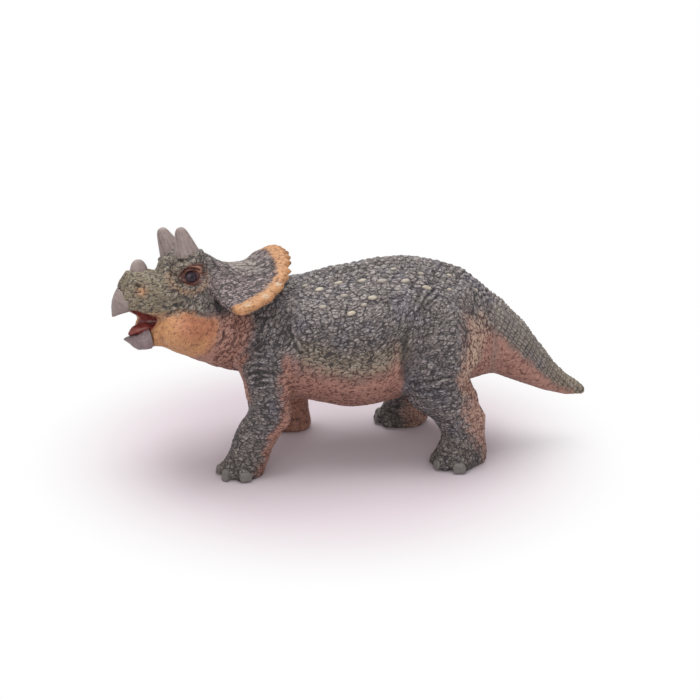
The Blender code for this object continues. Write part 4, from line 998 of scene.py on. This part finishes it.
nostrilPatch = hump(np.hypot(along + 27.4, up - 7.3), 1.15) * onHead * (cheekSide > 2.5)
eyeHalo = hump(np.hypot((along + 15.9) / 1.15, up - 9.9) - 3.9, 0.8) * onHead * (cheekSide > 5) * ramp(up, 12.5, 10)
farLip = ramp(along, -25.0, -26.5) * ramp(across, 1.0, 2.5) * ramp(np.abs(up + 0.3), 3.2, 2.2) * onMuzzle
skin["mouth"] *= 1 - 0.9 * farLip * ramp(across, 3.2, 3.9)
skin["orange"] = np.clip(jowl + 0.9 * farLip + rimBand + 0.75 * nostrilPatch + 0.25 * eyeHalo + 0.45 * lipEdge, 0, 1)

flankOlive = ramp(z, bellyLine + 7.5, bellyLine + 2.0) * onTrunk * ramp(x, -18, -13)
flankOlive *= ramp(z, bellyLine - 5, bellyLine - 1) * ramp(x, 13.5, 11.5)
faceOlive = onFace * (0.75 * ramp(along, -8, -19) + 0.35 * ramp(along, -20, -24))
skin["olive"] = np.clip(0.75 * flankOlive + faceOlive + 0.25 * (onFore + onHind) * ramp(z, 11, 6)
                        + onTail * (0.35 + 0.45 * ramp(x, 47, 57)), 0, 1)
skin["mauve"] = np.clip(onFrill * (1 - rimBand) * (0.75 + 0.25 * ramp(up, 10, 7)), 0, 1)

patchGap, _, _ = lineGap(hindPlane, smoothLine([(31.0, 37.0), (30.6, 33.5), (29.3, 29.5), (28.0, 26.5)]))
patch = ramp(patchGap + 2.2 * blur, 3.7, 0.2) * (onTrunk + onHind + onTail) * ramp(np.abs(normals[:, 1]), 0.2, 0.5)
creamBelt = hump(z - bellyLine + 1.2 * blur, 1.6) * onTrunk * ramp(x, -17, -12) * ramp(x, 12.5, 10)
rimSpots = np.zeros(len(points))
for spotPlace in (3.2, 8.9, 14.8):
    away = (np.minimum(rimPlace, rimLength - rimPlace) - spotPlace) / 0.95
    rimSpots = np.maximum(rimSpots, ramp(np.hypot(away, (rimGap - 1.1) / 0.65), 1.2, 0.7) * onFrill)
# painted highlight on the top of the frill where it faces up
frillTopHighlight = onFrill * frillTop * hump(np.hypot((along + 1.0) / 5.0, (up - 11.2) / 1.6), 1) * ramp(normals[:, 2], 0, 0.4)
ear = hump(np.hypot((along + 11.4) / 1.6, (up - 3.6) / 2.4), 1) * onFace * (cheekSide > 6) * skin["relief"]
skin["pale"] = np.clip(skin["pale"] + 0.34 * patch + 0.50 * rimSpots + 0.20 * creamBelt + 0.22 * frillTopHighlight
                       + 0.14 * hindRosy + 0.30 * ear, 0, 1)
skin["relief"] = np.clip(skin["relief"] + 0.30 * frillTopHighlight * (skin["relief"] > 0.25), 0, 1)
skin["rosy"] = np.clip(skin["rosy"] + 0.50 * patch * (1 - skin["rosy"]), 0, 1)

# the feet darker towards the soles
darken(ramp(z, 8.5, 3.0) * (onFore + onHind) * 0.18)
# painted shade on the far hind foot, a painted shadow under the frill and painted shade in the crease before the thigh,
# with a little darker paint on the frill rim
farFootShade = ramp(z, 12, 8) * part["right_hind_leg"] * ramp(hindPlane[:, 0], 29, 27)
underFrillShadow = ramp(near["frill"], 3.6, 0.3) * (1 - onFrill) * ramp(up, 7, 3)
crease = hump(x - 11.1 + 0.9 * blur, 1.15) * ramp(z, 40, 35) * ramp(z, 22, 26)
crease *= (onTrunk + onHind) * sideways * (1 - farSide)
skin["shadeAndDarkPaint"] = np.clip(skin["shadeAndDarkPaint"] + 0.09 * rimBand + 0.75 * underFrillShadow + 0.15 * farFootShade + 0.62 * crease, 0, 1)
print("paint fields done")

lumps = (softNoise(points / 5.0, 137) - 0.5) * 0.35
grain = (softNoise(points / 0.55, 139) - 0.5) * 0.06
sole = ramp(z, 0.15, 1.2)  # the soles stay flat
moved = points + normals * ((height + lumps + grain) * sole)[:, None] + shifted @ headTurn.T
moved[:, 2] = np.maximum(moved[:, 2], 0.0)
writePoints(hide.data, moved)


# Paint and finish

wrinkleNet = {"scale": 1150, "stretch": (2.6, 1.4, 1.0), "bend": 0.0010}
groupInputs = {"NodeSocketColor": ("Paint", "Wash", "Brush"),
               "NodeSocketFloat": ("Relief", "Wrinkle", "Climb", "Upright", "Wash Amount", "Brush Amount")}
groupOutputs = {"NodeSocketColor": ("Color",), "NodeSocketFloat": ("Roughness", "Height")}


def washGroup():  # dark wash in the creases and a dry brush over the ridges, used by every painted material
    group = bpy.data.node_groups.new("washAndDryBrush", 'ShaderNodeTree')
    for way, sockets in (('INPUT', groupInputs), ('OUTPUT', groupOutputs)):
        for kind, names in sockets.items():
            for name in names:
                group.interface.new_socket(name, in_out=way, socket_type=kind)
    start, end = newNode(group, "NodeGroupInput").outputs, newNode(group, "NodeGroupOutput").inputs
    place = objectPlace(group)
    mottle = noise(group, place, 900, 4.0, 0.65)
    speck = noise(group, place, 2600, 2.0, 0.6)
    bend = {0: noise(group, place, 1100, 2.0, 0.6, "Color"), 1: (wrinkleNet["bend"],) * 3, 2: place}
    pushed = newNode(group, "ShaderNodeVectorMath", bend, operation='MULTIPLY_ADD').outputs[0]
    gap = None
    for degrees, weight in ((0, None), (50, start["Climb"]), (100, start["Upright"])):  # level, climbing, upright
        turn = (0, -math.radians(degrees), 0)
        lie = newNode(group, "ShaderNodeMapping", vector_type='TEXTURE')  # its sockets depend on the type
        for name, value in (("Vector", pushed), ("Rotation", turn), ("Scale", wrinkleNet["stretch"])):
            feed(group, value, lie.inputs[name])
        step = newNode(group, "ShaderNodeTexVoronoi", {"Vector": lie.outputs[0], "Scale": wrinkleNet["scale"]},
                       feature='DISTANCE_TO_EDGE').outputs["Distance"]
        if weight is not None:
            rest = valueMath(group, 'MULTIPLY', gap, valueMath(group, 'SUBTRACT', 1.0, weight))
            step = valueMath(group, 'ADD', valueMath(group, 'MULTIPLY', step, weight), rest)
        gap = step
    line = valueMath(group, 'MULTIPLY', valueRange(group, gap, 0.12, 0.02), 0.56)
    beside = valueMath(group, 'MULTIPLY', valueRange(group, gap, 0.09, 0.18), valueRange(group, gap, 0.36, 0.20), 0.22)
    fine = valueMath(group, 'MULTIPLY', valueMath(group, 'SUBTRACT', beside, line), start["Wrinkle"])
    relief = valueMath(group, 'ADD', start["Relief"], valueRange(group, mottle, 0.3, 0.7, -0.12, 0.12), fine)
    low = valueMath(group, 'MULTIPLY', valueRange(group, relief, 0.34, 0.02), start["Wash Amount"])
    high = valueMath(group, 'MULTIPLY', valueRange(group, relief, 0.54, 1.0), start["Brush Amount"],
                     valueRange(group, speck, 0.32, 0.58))
    shade = valueRange(group, mottle, 0.65, 0.35, 0.0, 0.18)
    colour = colourMix(group, start["Paint"], (0.0, 0.0, 0.0, 1.0), shade)
    colour = colourMix(group, colour, start["Wash"], low)
    feed(group, colourMix(group, colour, start["Brush"], high), end["Color"])
    feed(group, valueRange(group, relief, 0.0, 1.0, 0.70, 0.46), end["Roughness"])
    grain = valueMath(group, 'ADD', valueMath(group, 'MULTIPLY', speck, 0.4), mottle)
    feed(group, valueMath(group, 'ADD', grain, valueMath(group, 'MULTIPLY', fine, 1.6)), end["Height"])
    return group


wash = washGroup()


def addCoat(tree, shader, inputs, bump=None):
    coat = newNode(tree, "ShaderNodeGroup", inputs, node_tree=wash)
    feed(tree, coat.outputs["Color"], shader.inputs["Base Color"])
    feed(tree, coat.outputs["Roughness"], shader.inputs["Roughness"])
    if bump:
        relief = {"Strength": bump[0], "Distance": bump[1], "Height": coat.outputs["Height"]}
        feed(tree, newNode(tree, "ShaderNodeBump", relief).outputs["Normal"], shader.inputs["Normal"])
    return coat.outputs


hidePaint = {
    "base": paint(106, 99, 96), "dusk": paint(95, 91, 98), "olive": paint(124, 112, 90), "mauve": paint(114, 98, 97),
    "rosy": paint(166, 124, 109), "orange": paint(198, 146, 99), "blush": paint(182, 120, 86),
    "pale": paint(204, 192, 166), "lid": paint(172, 130, 110), "mouth": paint(146, 62, 54), "shadeAndDarkPaint": paint(38, 34, 34),
    "wash": paint(46, 42, 44), "brush": paint(184, 176, 171), "warmWash": paint(88, 52, 45),
    "warmBrush": paint(216, 176, 146), "washAmount": 0.90, "brushAmount": 0.70, "warmBrushAmount": 0.40,
    "bump": (0.5, 0.00014), "wetness": 0.3,
}


def hideMaterial():
    finish, tree, shader = newMaterial("paintedHide")
    read = {name: field(tree, name) for name in skin}
    cloud = valueRange(tree, noise(tree, objectPlace(tree), 190, 2.0), 0.48, 0.68)
    colour = colourMix(tree, hidePaint["base"], hidePaint["dusk"], cloud)
    for name in ("olive", "mauve", "rosy", "orange", "blush", "pale", "lid", "mouth"):
        colour = colourMix(tree, colour, hidePaint[name], read[name])
    warm = valueMath(tree, 'MAXIMUM', read["orange"], read["rosy"], read["lid"], read["mouth"])
    coat = addCoat(tree, shader, {
        "Paint": colour,
        "Wash": colourMix(tree, hidePaint["wash"], hidePaint["warmWash"], warm),
        "Brush": colourMix(tree, hidePaint["brush"], hidePaint["warmBrush"], warm),
        "Relief": read["relief"], "Wrinkle": read["wrinkle"], "Climb": read["climb"], "Upright": read["upright"],
        "Wash Amount": hidePaint["washAmount"],
        "Brush Amount": valueRange(tree, warm, 0, 1, hidePaint["brushAmount"], hidePaint["warmBrushAmount"]),
    }, hidePaint["bump"])
    # the painted shade and darker paint laid over the coat, towards near-black
    feed(tree, colourMix(tree, coat["Color"], hidePaint["shadeAndDarkPaint"], read["shadeAndDarkPaint"]), shader.inputs["Base Color"])
    wet = valueMath(tree, 'MULTIPLY', read["mouth"], hidePaint["wetness"])
    feed(tree, valueMath(tree, 'SUBTRACT', coat["Roughness"], wet), shader.inputs["Roughness"])
    return finish


hideFinish = hideMaterial()


def place(item, node, slot, finish, matrix=None):
    if matrix is not None:
        item.data.transform(matrix)
    item.data.materials.clear()
    item.data.materials.append(finish)
    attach(item, "root")
    if node:
        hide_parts(node)


def boundaryLoops(faces):
    there = set(zip(faces.ravel().tolist(), np.roll(faces, -1, axis=1).ravel().tolist()))
    following = {}
    for a, b in there:
        if (b, a) not in there:
            following.setdefault(a, []).append(b)
    while following:
        first = here = min(following)
        loop = [first]
        while True:
            exits = following[here]
            after = min(exits)
            exits.remove(after)
            if not exits:
                del following[here]
            if after == first or after not in following:
                break
            loop.append(after)
            here = after
        yield loop


def partHide():  # one piece per moulded part, each opening closed by a sunk edge and a cap
    mesh = hide.data
    faces = readArray(mesh.loops, "vertex_index", 1, np.int32).reshape(-1, 4)
    spots, shading = readPoints(mesh), readNormals(mesh)
    owner = np.argmin(columns(*(near[node][faces].mean(1) for node in hideParts)), axis=1)
    for number, (node, (name, slot)) in enumerate(hideParts.items()):
        used, local = np.unique(faces[owner == number], return_inverse=True)
        local = local.reshape(-1, 4)
        rows, corner, tilt = local.tolist(), [*spots[used]], [*shading[used]]
        for loop in boundaryLoops(local):
            edge = used[loop]
            middle = spots[edge].mean(0)
            sunk = spots[edge] - shading[edge] * 0.5
            inner = list(range(len(corner), len(corner) + len(loop)))
            centre = len(corner) + len(loop)
            corner += [*(sunk + 0.04 * (middle - sunk)), middle]
            tilt += [*shading[edge], (0.0, 0.0, 1.0)]
            rows += [[b, a, c, d] for a, b, c, d in zip(loop, loop[1:] + loop[:1], inner, inner[1:] + inner[:1])]
            rows += [[b, a, centre] for a, b in zip(inner, inner[1:] + inner[:1])]
        piece = bpy.data.meshes.new(name)
        piece.from_pydata([tuple(spot * millimetre) for spot in corner], [], rows)
        piece.update()
        shadeSmooth(piece)
        for key, values in skin.items():
            keepValue(piece, key, np.append(values[used], np.zeros(len(corner) - len(used))))
        piece.normals_split_custom_set_from_vertices([tuple(lean) for lean in tilt])
        place(newObject(name, piece), node, slot, hideFinish)
    bpy.data.objects.remove(hide)


partHide()
print("hide parted into pieces")


# Horns

noseHorn = {
    "seat": (-26.3, 0.0, 11.2), "width": 0.72, "sides": 24,
    "rings": ((2.1, -1.4), (2.50, -0.2), (2.28, 1.2), (1.86, 2.35), (1.32, 3.1), (0.65, 3.5)),
    "grooves": 9, "grooveDepth": 0.02,
}


def growHorn(name, shape):  # a disc drawn out ring by ring to a blunt tip
    pickOnly()
    rings = shape["rings"]
    bpy.ops.mesh.primitive_circle_add(vertices=shape["sides"], radius=rings[0][0] * millimetre, fill_type='NGON',
                                      location=(0, 0, rings[0][1] * millimetre))
    horn = bpy.context.active_object
    horn.name = name
    bpy.ops.object.mode_set(mode='EDIT')
    bpy.ops.mesh.select_all(action='SELECT')
    for (wide, low), (slim, high) in zip(rings, rings[1:]):
        bpy.ops.mesh.extrude_region_move(TRANSFORM_OT_translate={"value": (0, 0, (high - low) * millimetre)})
        bpy.ops.transform.resize(value=(slim / wide, slim / wide, 1), center_override=(0, 0, high * millimetre))
    bpy.ops.mesh.inset(thickness=rings[-1][0] * 0.5 * millimetre)
    bpy.ops.mesh.select_all(action='SELECT')
    bpy.ops.mesh.normals_make_consistent(inside=False)
    bpy.ops.object.mode_set(mode='OBJECT')
    bpy.ops.object.transform_apply(location=True, rotation=True, scale=True)
    applyModifier(horn, 'SUBSURF', levels=2, render_levels=2)
    mesh = horn.data
    spots, tilt = readPoints(mesh), readNormals(mesh)
    turn = np.arctan2(spots[:, 1], spots[:, 0]) + 0.50 * (softNoise(spots / np.array([2.0, 2.0, 4.5]), 211) - 0.5)
    wave = np.abs(np.sin(turn * shape["grooves"] / 2))
    depth = (1 - wave) ** 3 * ramp(np.hypot(spots[:, 0], spots[:, 1]), 0.3, 1.2)
    depth *= np.clip(2.6 * softNoise(columns(turn * 3, turn * 0, spots[:, 2] / 2.6), 213) - 0.4, 0, 1)
    writePoints(mesh, spots - tilt * (depth * shape["grooveDepth"])[:, None])
    keepValue(mesh, "groove", depth * min(shape["grooveDepth"] / 0.08, 1))
    shadeSmooth(mesh)
    return horn


hornPaint = {"paint": paint(142, 127, 122), "upperBeak": paint(136, 121, 115), "lowerBeak": paint(126, 108, 109),
             "wash": paint(52, 42, 42), "brush": paint(176, 164, 158), "washAmount": 0.95, "brushAmount": 0.45,
             "bump": (0.15, 0.0001)}


def hornMaterial(name, tint):
    finish, tree, shader = newMaterial(name)
    addCoat(tree, shader, {
        "Paint": tint, "Wash": hornPaint["wash"], "Brush": hornPaint["brush"], "Wrinkle": 0.0,
        "Wash Amount": hornPaint["washAmount"], "Brush Amount": hornPaint["brushAmount"],
        "Relief": valueRange(tree, field(tree, "groove"), 0.0, 0.8, 0.72, 0.05),
    }, hornPaint["bump"])
    return finish


def seatAt(spot):
    return Matrix.Translation(Vector(spot) * millimetre)


def slimmed(shape):
    return Matrix.Diagonal((1.0, shape["width"], 1.0, 1.0))


hornFinish = hornMaterial("hornGrey", hornPaint["paint"])
for side, node, name in ((-1, "left_brow_horn", "leftBrowHorn"), (1, "right_brow_horn", "rightBrowHorn")):
    seat = headMatrix @ seatAt(browHorn["seats"][side]) @ browTurn(side) @ slimmed(browHorn)
    place(growHorn(name, browHorn), node, "horn_grey", hornFinish, seat)
place(growHorn("noseHorn", noseHorn), "nose_horn", "horn_grey", hornFinish,
      headMatrix @ seatAt(noseHorn["seat"]) @ slimmed(noseHorn))
print("horns done")


# Beaks, mouth and tongue: fine skins over the mouldings, with their own lines

beak = {
    "voxel": 0.22, "evenRounds": 5, "lineGap": 0.80, "lineDepth": 0.10, "reachBack": 1.1, "wider": 0.10,
    "chinBack": 0.6, "dropAlong": (-31.5, -30.0, -28.8, -27.5, -26.0), "drop": (-0.9, -1.1, -0.8, -0.1, 0.5),
}


def softCopy(name, node, voxel, rounds):
    item = coverNodes(name, [node], voxel)
    writePoints(item.data, evenOut(readPoints(item.data), readEdges(item.data), rounds))
    shadeSmooth(item.data)
    return item


def beakLines(item, tilt):
    mesh = item.data
    spots, lean = readPoints(mesh), readNormals(mesh)
    own = toHead(spots)
    step = own[:, 0] * tilt[0] + own[:, 2] * tilt[1] + 0.9 * softNoise(own / 1.8, 223)
    wave = np.abs(np.sin(np.pi * step / beak["lineGap"]))
    depth = (1 - wave) ** 4 * np.clip(2.4 * softNoise(own / 1.4, 227) - 0.7, 0, 1)
    upperBack = ramp(own[:, 0], -34.0, -31.5)
    spots = spots - lean * (depth * beak["lineDepth"])[:, None]
    own = toHead(spots)
    if item.name == "upperBeak":  # its rear edge laps over the snout
        push = columns(upperBack * beak["reachBack"], upperBack * beak["wider"] * own[:, 1], 0 * upperBack)
    else:  # the lower beak's edge drops to the tip, and its chin is cut back
        drop = np.interp(own[:, 0], beak["dropAlong"], beak["drop"]) * ramp(own[:, 2], -5.2, -3.4)
        chin = beak["chinBack"] * ramp(own[:, 2], -4.5, -6.0) * ramp(own[:, 0], -28.5, -30.0)
        push = columns(chin, 0 * drop, drop)
    writePoints(mesh, spots + push @ headTurn.T)
    keepValue(mesh, "groove", depth * 0.8)


for node, name, material, tilt in (("upper_beak", "upperBeak", "beakGrey", (0.86, 0.5)),
                                   ("lower_beak", "lowerBeak", "beakDarkGrey", (0.25, 0.97))):
    piece = softCopy(name, node, beak["voxel"], beak["evenRounds"])
    beakLines(piece, tilt)
    place(piece, node, "horn_grey", hornMaterial(material, hornPaint[name]))


def mouthMaterial(name, colour, dark):
    finish, tree, shader = newMaterial(name)
    cloud = valueRange(tree, noise(tree, objectPlace(tree), 700), 0.35, 0.65)
    feed(tree, colourMix(tree, colour, dark, cloud), shader.inputs["Base Color"])
    feed(tree, 0.28, shader.inputs["Roughness"])
    return finish


mouthFinish = mouthMaterial("mouthRed", paint(128, 58, 50), paint(92, 38, 34))
tongueFinish = mouthMaterial("tongueRed", paint(142, 70, 62), paint(112, 48, 44))
place(softCopy("mouthRoof", "mouth_lining", 0.25, 4), "mouth_lining", "mouth_red", mouthFinish)
tongue = softCopy("tongueTop", "tongue", 0.2, 4)
own = toHead(readPoints(tongue.data))
front = ramp(own[:, 0], -24.5, -26.5)
own[:, 2] += front * 0.9 * (own[:, 2] + 2.4)  # thicker, and drooping at the tip
own[:, 2] -= 0.5 * ramp(own[:, 0], -29.0, -30.5)
own[:, 2] -= 0.35 * hump(own[:, 1] + 0.7, 0.35) * (own[:, 2] > -2.4) * front
writePoints(tongue.data, own @ headTurn.T + headSeat)
place(tongue, "tongue", "mouth_red", tongueFinish)
print("beaks and mouth done")

# Eyes

eyeBall = {"segments": 48, "rings": 32, "half": (2.00, 1.05, 1.52), "sink": 0.28, "disc": 1.40, "discBack": 0.45,
           "roughness": 0.22, "gloss": 0.35}


def eyeMaterial():
    finish, tree, shader = newMaterial("eyeGloss")
    ring = field(tree, "ring")
    cloud = valueRange(tree, noise(tree, objectPlace(tree), 1500), 0.4, 0.7)
    colour = colourMix(tree, paint(40, 27, 38), paint(60, 42, 50), cloud)
    for tint, start, end in ((paint(34, 24, 34), 0.62, 0.90), (paint(22, 16, 24), 0.40, 0.30),
                             (paint(84, 50, 50), 0.98, 1.08)):  # the iris' edge, the pupil, the rim
        colour = colourMix(tree, colour, tint, valueRange(tree, ring, start, end))
    feed(tree, colour, shader.inputs["Base Color"])
    feed(tree, eyeBall["roughness"], shader.inputs["Roughness"])
    feed(tree, eyeBall["gloss"], shader.inputs["Specular IOR Level"])
    return finish


eyeFinish = eyeMaterial()
for side, node, name in ((-1, "left_eye", "leftEye"), (1, "right_eye", "rightEye")):
    pickOnly()
    bpy.ops.mesh.primitive_uv_sphere_add(segments=eyeBall["segments"], ring_count=eyeBall["rings"], radius=millimetre)
    ball = bpy.context.active_object
    ball.name = name
    forth, rise, out = readPoints(ball.data).T
    disc = np.hypot(forth * eyeBall["half"][0] + eyeBall["discBack"], rise * eyeBall["half"][2]) / eyeBall["disc"]
    keepValue(ball.data, "ring", disc + (out < 0) * 2)
    shadeSmooth(ball.data)
    seat = (face["eye"][0] + face["openingAt"][0], side * (face["eye"][1] - eyeBall["sink"]),
            face["eye"][2] + face["openingAt"][1])
    turn = Matrix.Diagonal((*eyeBall["half"], 1.0)) @ Matrix.Rotation(-side * math.pi / 2, 4, 'X')
    place(ball, node, "eye_dark", eyeFinish, headMatrix @ seatAt(seat) @ turn)
print("eyes done")


# Nails: one cap modelled once, copied to the toes

def nailShape():
    pickOnly()
    bpy.ops.mesh.primitive_cube_add(size=2 * millimetre)
    cap = bpy.context.active_object
    cap.name = "nailShape"
    bpy.ops.object.mode_set(mode='EDIT')
    bpy.ops.mesh.select_all(action='SELECT')
    bpy.ops.transform.resize(value=nail["half"], center_override=(0, 0, 0))
    bpy.ops.mesh.subdivide(number_cuts=nail["cuts"])
    bpy.ops.mesh.select_all(action='DESELECT')
    bpy.ops.object.mode_set(mode='OBJECT')
    edge = nail["half"][2] * millimetre * 0.9
    for vertex in cap.data.vertices:
        if vertex.co.z > edge:
            vertex.co.x *= nail["topSlim"][0]
            vertex.co.y *= nail["topSlim"][1]
        if vertex.co.z < -edge:
            vertex.co.y *= nail["tipSlim"]
            vertex.co.x += nail["tip"] * millimetre
    applyModifier(cap, 'SUBSURF', levels=2, render_levels=2)
    shadeSmooth(cap.data)
    return cap


def nailMaterial():
    finish, tree, shader = newMaterial("nailGrey")
    addCoat(tree, shader, {"Paint": paint(110, 106, 101), "Wash": paint(70, 66, 60), "Brush": paint(158, 154, 146),
                           "Wash Amount": 0.6, "Brush Amount": 0.4, "Wrinkle": 0.0, "Relief": 0.55})
    return finish


nailFinish = nailMaterial()
cap = nailShape()
for node, name in (("left_foreleg", "nailsLeftFore"), ("right_foreleg", "nailsRightFore"),
                   ("left_hind_leg", "nailsLeftHind"), ("right_hind_leg", "nailsRightHind")):
    copies = []
    for spot, turn, wide, tall in toeSpots(node):
        copy = newObject(name, cap.data.copy())
        fit = Matrix.Diagonal((1.0, wide / nail["half"][1], tall / nail["half"][2], 1.0))
        copy.data.transform(seatAt(spot) @ Matrix.Rotation(turn, 4, 'Z') @ fit)
        copies.append(copy)
    pickOnly(copies[0])
    for copy in copies[1:]:
        copy.select_set(True)
    bpy.ops.object.join()
    copies[0].name = name
    place(copies[0], None, "horn_grey", nailFinish)
bpy.data.objects.remove(cap)
print("nails done")
